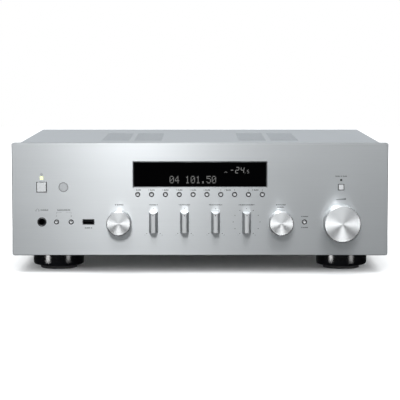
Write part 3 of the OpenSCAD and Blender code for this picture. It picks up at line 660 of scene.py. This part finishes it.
class RECEIVER_OT_display(bpy.types.Operator):
    """Finish the display window and light its figures"""
    bl_idname = "receiver.display"
    bl_label = "Display"

    def execute(self, context):
        dress("display_window", moulded("window_gloss", (0.0004, 0.0004, 0.0005), 0.05, 300,
                                        2e-6, Specular_IOR_Level=0.01))
        dress("display_tube", moulded("tube_glass", (0.01, 0.011, 0.012), 0.08, 500, 4e-6,
                                      Specular_IOR_Level=0.3))
        lit = Finish("lit_figures", Roughness=0.6, Emission_Strength=1.0, Specular_IOR_Level=0.1)
        flicker = lit.noise(900)
        glow = colours().glow
        lit.feed(Base_Color=lit.mix(flicker, (0.02, 0.02, 0.02), (0.03, 0.03, 0.03)),
                 Emission_Color=lit.mix(flicker, [c * 0.8 for c in glow], [c * 1.15 for c in glow]))
        # The window's face stands behind its bevelled opening
        work = Print(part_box("display_window")[0].y)
        work.at("display_window")
        for k, figure in enumerate(sizes().readout):
            for j, row in enumerate(DIGITS.get(figure, "").split()):
                for i in range(5):
                    if int(row, 16) >> (4 - i) & 1:
                        work.bar(6.1 * k + 1.02 * i - 34.7, -2.0 - 1.26 * j, 0.74, 0.92)
        for k, figure in enumerate("-24"):
            self.seven(work, 37 + 6.0 * k, 5.2, 3.4, 6.6, SEGMENTS[figure])
        self.seven(work, 55.6, 3.6, 2.0, 3.6, SEGMENTS["5"])
        work.disc(52.1, 1.9, 0.35, 8)
        work.stroke([(28.2 + i, 3.4 - abs(i - 1.6) * 0.7) for i in (0, 0.8, 1.6, 2.4, 3.2)], 0.4)
        work.end("display_figures", lit.material, "display_glass")
        return {"FINISHED"}

    def seven(self, work, x, z, width, height, which):
        """A leaning figure of up to seven bars."""
        half, slant = height / 2, 0.14
        places = {"a": (0, half), "g": (0, 0), "d": (0, -half), "f": (-1, half / 2),
                  "b": (1, half / 2), "e": (-1, -half / 2), "c": (1, -half / 2)}
        for name in which:
            side, up = places[name]
            long, angle = (half * 0.86, 90 - math.degrees(slant)) if side else (width * 0.8, 0)
            work.bar(x + side * width / 2 + up * slant, z + up, long, width * 0.2, angle)


class RECEIVER_OT_front_sockets(bpy.types.Operator):
    """Finish the lamps, the remote control window, the headphone socket and the data port"""
    bl_idname = "receiver.front_sockets"
    bl_label = "Front sockets and lamps"

    def execute(self, context):
        shade = colours()
        lamps = Finish("lamp_lenses", Roughness=0.25, Emission_Strength=0.3)
        power = lamps.axis(lamps.place, "X") < 0.0
        lit = lamps.mix(lamps.noise(1500), [c * 0.9 for c in shade.lamp], shade.lamp)
        lamps.feed(Base_Color=lamps.mix(power, (0.03, 0.032, 0.034), lit),
                   Emission_Color=lamps.mix(power, (0, 0, 0), lit))
        dress("indicator_lamps", lamps.material)
        dress("sensor_window", moulded("smoked_window", (0.23, 0.238, 0.245), 0.35, 900, 4e-6,
                                       Specular_IOR_Level=0.3))
        dress("phones_jack", moulded("socket_black", shade.black, Specular_IOR_Level=0.15))
        port = middle("usb_port")
        dress("usb_port", two_tone("data_port", (0.35, 0.36, 0.37), (0.006, 0.006, 0.008),
                                   lambda made: made.within(port, 6.27, 2.57), (0.3, 0.5), (1, 0),
                                   Specular_IOR_Level=0.1))
        # A bright ring round the mouth of the headphone socket, and contacts in the data port
        at, (_, face, _) = middle("phones_jack"), depths("phones_jack")
        inner, outer = 3.95, 4.5
        crown = (inner + outer) / 2
        start_clean()
        add_circle(at, (face - 0.12) * MM, inner * MM, 64)
        grow_rim(at, (-0.1, crown / inner), (0.1, outer / crown), (0.3, 1), (0, inner / outer),
                 (-0.3, 1))
        bpy.ops.mesh.select_all(action="SELECT")
        bpy.ops.mesh.remove_doubles(threshold=0.002 * MM)
        steel = satin_metal("phones_ring_metal", (0.33, 0.34, 0.35))
        hold(finish_piece("phones_ring", steel), "receiver", "black_plastic")
        start_clean()
        face = depths("usb_port")[1]
        for i in range(4):
            add_block((port[0] + (i - 1.5) * 2.3 * MM, port[1] + 0.02 * MM), (1.0, 0.12),
                      face + 3, face + 9)
        gold = satin_metal("gold_plate", (0.75, 0.52, 0.2), 0.25)
        hold(finish_piece("port_contacts", gold), "receiver", "port_steel")
        return {"FINISHED"}


class RECEIVER_OT_round_knobs(bpy.types.Operator):
    """Turn the input, select and volume knobs"""
    bl_idname = "receiver.round_knobs"
    bl_label = "Round knobs"

    def execute(self, context):
        side = turned_side()
        edge, back = sizes().knob_chamfer / MM, FACE / MM - KNOB_GAP
        for name in ROUND_KNOBS:
            at, (r, front, end) = middle(name), depths(name)
            turn(at, [
                (0.5, front), (r - edge - 0.6, front), (r - edge - 0.25, front),
                (r - edge, front + 0.04), (r - edge * 0.35, front + edge * 0.3), (r, front + edge),
                (r, back - 0.9), (r - 0.25, back - 0.7), (r - 0.25, back - 0.4), (r, back - 0.25),
                (r - 0.3, back), (r - 2.2, back), (r - 2.4, front + 4.2), (6.2, front + 4.2),
                (6, back), (3, back), (3, end)], 128)
            piece = finish_piece(name + "_turned", turned_face(name + "_face", at), side,
                                 moulded(name + "_core", (0.02, 0.02, 0.022)))
            paint_faces(piece, 1, lambda c: c.y > (front + 0.02) * MM)
            paint_faces(piece, 2, lambda c: c.y > (front + 4) * MM and
                        math.hypot(c.x - at[0], c.z - at[1]) < (r - 1) * MM)
            hold(piece, name, "knob_aluminium", name)
        return {"FINISHED"}


class RECEIVER_OT_tone_knobs(bpy.types.Operator):
    """Shape the four bar-shaped tone knobs"""
    bl_idname = "receiver.tone_knobs"
    bl_label = "Tone knobs"

    def execute(self, context):
        metal, ink = bar_metal(), moulded("pointer_ink", colours().ink, 0.5)
        first = TONE_KNOBS[0]
        at, (half, front, end) = middle(first), depths(first)
        if half > BAR_FOOT[1] / 2:
            raise RuntimeError("A tone knob lies on its side: the frame's knobs have changed")
        back = FACE / MM - KNOB_GAP
        start_clean()
        add_block(at, BAR_FOOT, front, back)
        pick(lambda p: p.y < (front + 1) * MM)
        resize(BAR_FACE[0] / BAR_FOOT[0], BAR_FACE[1] / BAR_FOOT[1], (at[0], 0, at[1]))
        bpy.ops.mesh.select_all(action="SELECT")
        round_edges(sizes().bar_edge, 3)
        bar = finish_piece("bar", metal, ink, smooth=14)
        # A dot near the top of the face, and the shaft behind
        turn((at[0], at[1] + 9 * MM), [(0.62, front - 0.015), (0.62, front + 0.2)], 20)
        dot = finish_piece("dot", metal, ink)
        paint_faces(dot, 1, lambda c: True)
        turn(at, [(3, back - 0.2), (3, end)], 40)
        piece = join([bar, dot, finish_piece("shaft", metal)], first + "_bar")
        spread(piece, TONE_KNOBS, "_bar", ("knob_aluminium", None))
        return {"FINISHED"}


class RECEIVER_OT_buttons(bpy.types.Operator):
    """Make the small round buttons and the two square ones"""
    bl_idname = "receiver.buttons"
    bl_label = "Buttons"

    def execute(self, context):
        metal = satin_metal("button_aluminium", colours().knob, 0.24)
        at, (_, front, end) = middle(SMALL_BUTTONS[0]), depths(SMALL_BUTTONS[0])
        r, edge, flange = 2.2, sizes().button_edge / MM, FACE / MM + FLANGE
        turn(at, [(0.9, front + 0.12), (1.45, front + 0.03), (r - edge, front),
                  (r - edge * 0.3, front + edge * 0.3), (r, front + edge), (r, flange),
                  (3.3, flange), (3.3, flange + 1), (1.5, flange + 1), (1.5, end)], 40)
        piece = finish_piece(SMALL_BUTTONS[0] + "_cap", metal,
                             satin_metal("painted_shade_button_rim", (0.07, 0.072, 0.075), 0.35))
        # Painted shade: the rounded rim of each cap, in front of the panel, is dark grey, standing
        # for the shade round the cap
        paint_faces(piece, 1, lambda c: c.y < FACE and
                    math.hypot(c.x - at[0], c.z - at[1]) > 1.8 * MM)
        spread(piece, SMALL_BUTTONS, "_cap", ("button_aluminium", None))
        for name, (side, stem) in SQUARE_BUTTONS.items():
            self.square(name, side, stem, metal)
        self.paint_gap_shade()
        return {"FINISHED"}

    def square(self, name, side, stem, metal):
        at, (_, front, end) = middle(name), depths(name)
        flange = FACE / MM + FLANGE
        start_clean()
        add_block(at, (side, side), front, flange)
        pick(lambda p: p.y < FACE - 0.2 * MM)
        round_edges(0.3 * MM, 3)
        add_block(at, (side + 2.2, side + 2.2), flange, flange + 1)
        cap = finish_piece("cap", metal, smooth=14)
        turn(at, [(stem, flange + 0.9), (stem, end)], 32)
        join([cap, finish_piece("stem", metal)], name + "_cap")
        hold(cap, name, "button_aluminium", name)

    def paint_gap_shade(self):
        """Painted shade: black rings and squares printed on the panel round each button's hole and
        round the remote control window, standing for the shade in the gaps.
        """
        work = Print(FACE)
        for name in SMALL_BUTTONS:
            work.at(name)
            work.ring(0, 0, 2.6, 0.76, steps=20)
        work.at("sensor_window")
        work.ring(0, 0, 5.3, 0.42, steps=28)
        for name, (side, _) in SQUARE_BUTTONS.items():
            work.at(name)
            half = side / 2 + 0.42
            work.stroke([(-half, -half), (half, -half), (half, half), (-half, half),
                         (-half, -half)], 0.6)
        work.end("painted_gap_shade", moulded("painted_gap_shade_black", (0.012, 0.013, 0.014), 0.6,
                                            Specular_IOR_Level=0.2), "black_plastic")


class RECEIVER_OT_feet(bpy.types.Operator):
    """Turn the glossy feet and their rubber pads"""
    bl_idname = "receiver.feet"
    bl_label = "Feet"

    def execute(self, context):
        low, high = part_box("feet")
        r, top, groove = 30, high.z / MM, sizes().groove_depth / MM
        x, y = low.x + r * MM, low.y + r * MM
        gloss = Finish("foot_gloss", Coat_Weight=0.16, Coat_Roughness=0.14, Specular_IOR_Level=0.22)
        mist = gloss.noise(420, detail=3)
        gloss.shade(mist, colours().black, 0.15)
        gloss.feed(Roughness=0.2 + mist * 0.06).bump(mist, 8e-7)
        turn((x, y), [(2.2, 16), (6, 16), (6, 3.7), (21.6, 3.6), (27.2, 4.2), (28.9, 4.9),
                      (r - 0.25, 6.2), (r, 7.4), (r, top - 2.2), (r - groove, top - 2.0),
                      (r - groove, top - 1.7), (r, top - 1.5), (r, top - 0.3), (r - 0.3, top)],
             128, upright=True)
        foot = finish_piece("foot", gloss.material)
        turn((x, y), [(9, 4.4), (9, 0), (20.6, 0), (21.3, 0.2), (21.5, 0.8), (21.5, 4.4)],
             upright=True)
        pad = finish_piece("pad", moulded("pad_rubber", (0.02, 0.02, 0.021), 0.62, 1400, 4e-5))
        across, behind = -2 * x, low.y + high.y - 2 * y
        for part, name, slot, node in ((foot, "turned_feet", "foot_plastic", "feet"),
                                       (pad, "rubber_pads", "pad_rubber", "foot_pads")):
            others = [twin(part, "other", (*move, 0)) for move in
                      ((across, 0), (0, behind), (across, behind))]
            hold(join([part, *others], name), "receiver", slot, node)
        return {"FINISHED"}


class RECEIVER_OT_front_marks(bpy.types.Operator):
    """Print the dots, signs and plain figures on the front panel"""
    bl_idname = "receiver.front_marks"
    bl_label = "Front marks"

    def execute(self, context):
        work = Print(FACE)
        keys = SMALL_BUTTONS[:10]
        for k, name in enumerate(keys[6:]):
            work.at(name)
            work.arrow(0, 5.2, 0.75, -90 if k % 2 else 90)
        for k, place in enumerate([*keys[:6], between(*keys[6:8]), between(*keys[8:])]):
            work.at(place)
            work.figures(str(k + 1), -3.2, 5.2, 1.5)
            work.strip(0.9, 5.2, 5.6, 1.5)
        work.at("power_button")
        work.ring(0, 14.6, 1.15, 0.26, -235, 55, 12)
        work.bar(0, 15.4, 0.28, 1.5)
        # Headphones and loudspeakers
        work.at("phones_jack")
        work.strip(3, 13.9, 9)
        work.ring(-5, 13.4, 1.7, 0.26, 0, 180, 8)
        for side in (-1, 1):
            work.bar(side * 1.7 - 5, 13, 0.7, 1.2)
        for name, figure in (("speaker_a_button", "1"), ("speaker_b_button", "2")):
            work.at(name)
            work.figures(figure, 0, 6.9, 1.7)
        work.at(between("speaker_a_button", "speaker_b_button"))
        work.strip(0, 13.9, 15)
        for side in (-1, 1):
            work.stroke([(side * 2.5, 11.3), (side * 8.5, 11.3), (side * 8.5, 9.3)], 0.16)
        work.at("usb_port")
        work.strip(-1.2, -6.9, 6, 1.2)
        work.arrow(3.4, -6.9, 0.95, -90)
        # Knobs, and the buttons beside them
        work.at("input_knob")
        work.strip(1.2, 20, 7.6)
        work.arrow(-4.2, 20, 1.0, -90)
        for name, long in zip(TONE_KNOBS, (7.2, 10.4, 12.6, 15.6)):
            work.at(name)
            self.tone_marks(work, long, 11 if name == "loudness_knob" else 3)
        work.at("select_knob")
        work.strip(0, 20, 11)
        work.strip(0, 17.3, 8)
        work.at("return_button")
        for z in (6.4, -6.4):
            work.arrow(-3.2, z, 0.8, 90)
            work.strip(1, z, 6.2, 1.1)
        work.at("volume_knob")
        for i in range(9):
            work.bar((i - 4) * 1.3, 26 + i * 0.09, 0.8, 0.6 + i * 0.18)
        work.at("direct_button")
        for side in (-1, 1):
            work.strip(side * 4.2, 12.7, 5, 1.2)
        work.arrow(0, 12.7, 0.9, -90)
        work.end("front_marks", moulded("front_ink", colours().ink, 0.55, 3000), "panel_aluminium")
        return {"FINISHED"}

    def tone_marks(self, work, long, dots):
        """The sign over a tone knob, the dots round it, and a minus and a plus below."""
        work.strip(0, 20, long)
        for side in (-1, 1):
            work.arrow(side * (long / 2 + 0.9), 20, 0.75, -90 * side)
            work.bar(side * 9.9, -15.2, 0.85, 0.24)
        work.bar(9.9, -15.2, 0.24, 0.85)
        for i in range(dots):
            angle = math.radians(300 * i / (dots - 1) - 60)
            work.disc(15.5 * math.cos(angle), 15.5 * math.sin(angle), 0.46, 10)


class RECEIVER_OT_terminals(bpy.types.Operator):
    """Make the ribbed caps of the loudspeaker terminals"""
    bl_idname = "receiver.terminals"
    bl_label = "Terminals"

    def execute(self, context):
        dress("speaker_terminals", two_tone(
            "terminal_block", (0.012, 0.012, 0.013), (0.8, 0.6, 0.28),
            lambda made: sum(made.near(middle(cap), 3.45) for cap in CAPS), (0.38, 0.2), (0, 1)))
        at, (r, front, back) = middle(CAPS[0]), depths(CAPS[0])
        sides = sizes().ribs * 4
        turn(at, [(3.5, front + 4), (3.5, back), (r - 2.2, back), (r - 1.2, back - 0.6),
                  (r - 0.8, back - 1.6), (r - 0.8, front + 7.4), (r - 0.3, front + 6.4),
                  (r, front + 5.8), (r, front + 0.8), (r - 0.8, front), (3.5, front),
                  (3.5, front + 3.8)], sides)

        def in_groove(p):
            step = math.atan2(p.z - at[1], p.x - at[0]) * sides / (2 * math.pi)
            return p.y > (front + 7) * MM and round(step) % 4 in (0, 1) and \
                math.hypot(p.x - at[0], p.z - at[1]) > (r - 1.5) * MM
        pick(in_groove)
        shrink = 1 - sizes().rib_depth / MM / r
        resize(shrink, shrink, (at[0], 0, at[1]))
        kinds = [(name, moulded(name, tone, rough, 900, 6e-6, Coat_Weight=0.5, Coat_Roughness=0.08))
                 for name, tone, rough in (("cap_red", colours().red, 0.16),
                                           ("cap_black", (0.008, 0.008, 0.009), 0.18))]
        spread(finish_piece(CAPS[0] + "_ribbed", smooth=25), CAPS, "_ribbed", *kinds)
        return {"FINISHED"}


class RECEIVER_OT_back(bpy.types.Operator):
    """Finish the sockets at the back, with their coloured rings and printed marks"""
    bl_idname = "receiver.back"
    bl_label = "Back"

    def execute(self, context):
        nickel = (0.66, 0.65, 0.62)
        dress("aerial_socket", satin_metal("nickel", nickel, 0.22, 1500))
        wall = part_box("rear_panel")[1].y
        dress("rca_sockets", two_tone(
            "phono_metal", (0.02, 0.02, 0.02), nickel,
            lambda made: made.axis(made.place, "Y") > wall - 2.35 * MM, (0.45, 0.22), (0, 1)))
        dress("network_port", two_tone(
            "network_shell", (0.55, 0.55, 0.56), (0.012, 0.012, 0.013),
            lambda made: made.within(middle("network_port"), 5.93, 4.23), (0.28, 0.5), (1, 0)))
        x, z = middle("ac_inlet")
        dress("ac_inlet", two_tone(
            "mains_inlet", (0.013, 0.013, 0.014), (0.7, 0.69, 0.66),
            lambda made: made.near((x - 4.3 * MM, z), 1.25) + made.near((x + 4.3 * MM, z), 1.25),
            (0.42, 0.2), (0, 1)))
        # Insulators in the mouths of the phono sockets
        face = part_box("rca_sockets")[1].y
        for name, shade, z in (("white_insulators", (0.75, 0.75, 0.72), PHONO_Z[1]),
                               ("red_insulators", colours().red, PHONO_Z[0])):
            start_clean()
            for x in PHONO_X:
                at = (x * MM, z * MM)
                add_circle(at, face, 1.72 * MM, 40)
                grow_rim(at, (0.12, 1.06), (0.0, 1.8), (-0.12, 1.05), (-0.3, 1.0))
            to_mode("OBJECT")
            thicken(0.1 * MM)
            hold(finish_piece(name, moulded(name, shade)), "receiver", "socket_metal")
        self.marks(wall)
        return {"FINISHED"}

    def marks(self, wall):
        work = Print(wall, back=True)
        work.at((0, 0))
        for i in (0, 2, 4):
            left, right = (sum(PHONO_X[i:i + 2]) / 2 + side * 14 for side in (-1, 1))
            work.stroke([(left, 92.5), (right, 92.5), (right, 133), (left, 133), (left, 92.5)])
            for j in (i, i + 1):
                work.figures(str(6 - j), PHONO_X[j], 88.8, 2.6)
        for pair, figure in ((0, "2"), (2, "1")):
            left, right = middle(CAPS[pair])[0], middle(CAPS[pair + 1])[0]
            half = (right - left) / 2 / MM
            work.at(((left + right) / 2, middle(CAPS[4])[1]))
            work.figures(figure, 0, 16.5, 3.12)
            for x, long, wide in ((-half, 2.2, 0.5), (half, 2.2, 0.5), (-half, 0.5, 2.2)):
                work.bar(x, 16.5, long, wide)
            work.stroke([(-half - 9, 20), (half + 9, 20)])
        work.at("network_port")
        for x in (-4, 0, 4):
            work.bar(x, 12, 2.4, 1.8)
            work.bar(x, 13.6, 0.3, 1.6)
        work.bar(0, 14.4, 8.3, 0.3)
        work.at((AERIAL[0] * MM, AERIAL[1] * MM))
        work.bar(0, 10.6, 0.4, 3.4)
        for angle in (50, 130):
            work.bar(math.cos(math.radians(angle)) * 1.4, 12.3, 3, 0.4, angle)
        work.at("ac_inlet")
        work.stroke([(0.7 * i, 14 - 1.3 * math.sin(i * math.pi / 6)) for i in range(-6, 7)], 0.45)
        for side in (-1, 1):
            work.bar(side * 9, 14, 4, 0.45)
        work.end("rear_marks", moulded("rear_ink", colours().rear_ink, 0.5, 3000), "rear_paint")


class RECEIVER_OT_inside(bpy.types.Operator):
    """Finish the boards, the transformer, the heat sink and the wiring inside"""
    bl_idname = "receiver.inside"
    bl_label = "Inside"

    def execute(self, context):
        green = Finish("solder_mask", Coat_Weight=0.4, Coat_Roughness=0.2)
        track = green.node("TexBrick", {}, Vector=green.place, Scale=160.0, Mortar_Size=0.06,
                           out="Fac")
        green.feed(Base_Color=green.mix(track, (0.018, 0.11, 0.045), (0.03, 0.17, 0.07)),
                   Roughness=0.35 + green.noise(300) * 0.1)
        green.bump(track, 3e-5, 0.5)
        for node in ("front_board", "signal_board", "amp_board"):
            dress(node, green.material)
        iron = Finish("core_and_winding", Metallic=0.6)
        sheets = iron.lines(iron.axis(iron.place, "X"), 0.0006, 1)
        iron.feed(Base_Color=iron.mix(sheets, (0.10, 0.085, 0.07), (0.32, 0.27, 0.2)),
                  Roughness=0.4 + sheets * 0.2)
        iron.bump(sheets, 5e-5, 0.6)
        dress("transformer", iron.material)
        sleeve = Finish("can_sleeve", Roughness=0.3)
        top = sleeve.axis(sleeve.place, "Z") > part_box("reservoir_capacitors")[1].z - 0.6 * MM
        mist = sleeve.noise(500)
        wrap = sleeve.mix(mist, (0.012, 0.02, 0.075), (0.02, 0.03, 0.1))
        sleeve.feed(Base_Color=sleeve.mix(top, wrap, (0.6, 0.61, 0.62)), Metallic=top,
                    Roughness=0.25 + mist * 0.1)
        dress("reservoir_capacitors", sleeve.material)
        dress("heat_sink", satin_metal("extruded_aluminium", (0.34, 0.35, 0.36), 0.4, 900))
        dress("output_transistors", moulded("chip_black", (0.015, 0.015, 0.016), 0.45))
        dress("wiring", moulded("wire_insulation", (0.25, 0.14, 0.08), 0.4, 700))
        dress("rotary_controls", satin_metal("control_zinc", (0.5, 0.5, 0.49), 0.35))
        dress("front_switches", moulded("switch_black", (0.02, 0.02, 0.021), 0.4))
        dress("select_rotor", satin_metal("turned_brass", (0.72, 0.54, 0.22), 0.25))
        return {"FINISHED"}


class RECEIVER_OT_studio(bpy.types.Operator):
    """Lay the pale floor and set the lights, the room and the camera"""
    bl_idname = "receiver.studio"
    bl_label = "Studio"

    def execute(self, context):
        studio, made = context.scene.receiver_studio, bpy.data.objects
        start_clean()
        bpy.ops.mesh.primitive_plane_add(size=8, location=(0, -1, 0))
        floor = bpy.context.object
        floor.name = "floor"
        pale = Finish("pale_floor", Roughness=0.9, Specular_IOR_Level=0.0)
        pale.feed(Base_Color=pale.mix(pale.noise(6, detail=3), (0.84, 0.85, 0.855),
                                      (0.88, 0.885, 0.89)))
        floor.data.materials.append(pale.material)
        floor.visible_glossy = False
        self.lamp("key_light", (-0.155, -2.1, 0.93), AIM, (0.14, 0.3), studio.key)
        self.cards(studio, made)
        self.lamp("front_strip", (0, -0.5, 0.37), AIM, (1.5, 0.1), studio.brow,
                  self.group("front_strip_lights", [frame["nodes"]["front_panel"]]))
        feet = self.group("feet_lights", [made["turned_feet"]])
        for name, side, degrees, strength in (("left_strip", -1, 50, 1.0),
                                              ("right_strip", 1, 46, 0.4)):
            angle = math.radians(degrees)
            place = (side * STRIP_REACH * math.sin(angle),
                     AIM[1] - STRIP_REACH * math.cos(angle), 0.3)
            self.lamp(name, place, AIM, (0.7, 1.9), studio.sides * strength, feet)
        top = self.lamp("top_light", (0, 0.15, 2.6), (0, 0.15, 0), (3.4, 3.4), studio.top)
        top.visible_glossy = False
        self.room(context.scene, studio)
        bpy.ops.object.camera_add(location=CAMERA)
        camera = self.face(Vector((0, -0.17, 0.0846)))
        camera.data.lens, camera.data.sensor_width = studio.lens, 36
        camera.data.clip_start, camera.data.clip_end = 0.05, 60
        context.scene.camera = camera
        context.scene.view_settings.view_transform = "Standard"
        return {"FINISHED"}

    def group(self, name, pieces):
        found = bpy.data.collections.new(name)
        for piece in pieces:
            found.objects.link(piece)
        return found

    def face(self, target):
        """Turns the light or camera in hand to a target."""
        made = bpy.context.object
        made.rotation_mode = "QUATERNION"
        made.rotation_quaternion = (Vector(target) - made.location).to_track_quat("-Z", "Y")
        return made

    def lamp(self, name, place, target, size, power, only=None):
        bpy.ops.object.light_add(type="AREA", location=place)
        lamp = self.face(target)
        lamp.name = lamp.data.name = name
        lamp.data.shape, lamp.data.size, lamp.data.size_y = "RECTANGLE", *size
        lamp.data.energy = power
        lamp.visible_camera = False
        lamp.light_linking.receiver_collection = only
        return lamp

    def cards(self, studio, made):
        """Pale cards that only the knobs, bars and buttons mirror."""
        trim = [name + "_bar" for name in TONE_KNOBS]
        trim += [name + "_cap" for name in (*SMALL_BUTTONS, *SQUARE_BUTTONS)]
        rows = [("trim_card", (0, -2.0, -0.1), (1.0, 0.34), studio.trim,
                 self.group("trim_metal", [made[name] for name in trim]))]
        # A leaning face mirrors the cards that stand round the mirror image of the camera
        for name in ROUND_KNOBS:
            group = self.group(name + "_metal", [made[name + "_turned"]])
            x, z = (2 * place - seen for place, seen in zip(middle(name), (CAMERA[0], CAMERA[2])))
            for side, right, up, wide, level in (
                    ("left", -0.44, 0, 0.28, 1), ("right", 0.44, 0, 0.28, 1),
                    ("low", 0, -0.46, 0.32, 1), ("high", 0, 0.46, 0.22, 0.22)):
                rows.append((f"{name}_{side}_card", (x + right, -2.05, z + up), (wide, 0.3),
                             studio.cards * level, group))
        for name, place, size, level, group in rows:
            power = level * math.pi * size[0] * size[1]
            card = self.lamp(name, place, (0, -0.17, 0.07), size, power, group)
            card.light_linking.blocker_collection = group

    def room(self, scene, studio):
        """White to the camera. To everything else, a room that is bright above and dim below."""
        world = bpy.data.worlds.new("room")
        world.use_nodes = True
        scene.world = world
        nodes = Nodes(world.node_tree)

        def ramp(value, *ends, kind="SMOOTHSTEP"):
            return nodes.node("MapRange", {"interpolation_type": kind}, value, *ends)
        way = nodes.node("TexCoord", {}, out="Generated")
        across, along, up = (nodes.axis(way, letter) for letter in "XYZ")
        above = ramp(up, 0.2, 0.9, 0.0, 0.5)
        aside = ramp(abs(across), 0.14, 0.42, 1.0, 0.3)
        level = (ramp(up, -0.2, 0.0, 0.06, 0.62) * aside + above) * \
            ramp(across, -0.55, 0.55, 1.32, 0.8) * studio.room
        spread = ramp(up, 0.0, 0.4, 2.7 * studio.fill, 0.9 * studio.fill) * \
            ramp(along, -0.9, 0.3, 1.35, 1.0, kind="LINEAR")
        grey = nodes.node("CombineColor", {}, level * 0.97, level * 0.99, level)
        pale = nodes.node("CombineColor", {}, spread * 0.985, spread * 0.995, spread)
        gloss, seen = (nodes.node("LightPath", {}, out=f"Is {kind} Ray")
                       for kind in ("Glossy", "Camera"))
        shown = nodes.mix(seen, nodes.mix(gloss, pale, grey), (1, 1, 1))
        # A room that answers each kind of ray with its own brightness is met by rays alone
        world.cycles.sampling_method = "NONE"
        nodes.fill(world.node_tree.nodes["Background"].inputs["Color"], shown)


OPERATORS = [RECEIVER_OT_metalwork, RECEIVER_OT_display, RECEIVER_OT_front_sockets,
             RECEIVER_OT_round_knobs, RECEIVER_OT_tone_knobs, RECEIVER_OT_buttons,
             RECEIVER_OT_feet, RECEIVER_OT_front_marks, RECEIVER_OT_terminals,
             RECEIVER_OT_back, RECEIVER_OT_inside, RECEIVER_OT_studio]
SETTINGS = {"receiver_sizes": ReceiverSizes, "receiver_colours": ReceiverColours,
            "receiver_studio": ReceiverStudio}


class RECEIVER_PT_sidebar(bpy.types.Panel):
    """The receiver's sizes, colours and steps"""
    bl_idname = "RECEIVER_PT_sidebar"
    bl_label = "Receiver"
    bl_space_type = "VIEW_3D"
    bl_region_type = "UI"
    bl_category = "Receiver"

    def draw(self, context):
        for name, group in SETTINGS.items():
            box = self.layout.box()
            for field in group.__annotations__:
                box.prop(getattr(context.scene, name), field)
        column = self.layout.column()
        for step in OPERATORS:
            column.operator(step.bl_idname)


CLASSES = [*SETTINGS.values(), *OPERATORS, RECEIVER_PT_sidebar]


def register():
    for group in CLASSES:
        bpy.utils.register_class(group)
    for name, group in SETTINGS.items():
        setattr(bpy.types.Scene, name, PointerProperty(type=group))


def unregister():
    for name in SETTINGS:
        delattr(bpy.types.Scene, name)
    for group in reversed(CLASSES):
        bpy.utils.unregister_class(group)


def main():
    register()
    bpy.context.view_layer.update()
    bpy.context.tool_settings.mesh_select_mode = (True, False, False)
    for step in OPERATORS:
        getattr(bpy.ops.receiver, step.bl_idname.split(".")[1])()


if __name__ == "__main__":
    main()
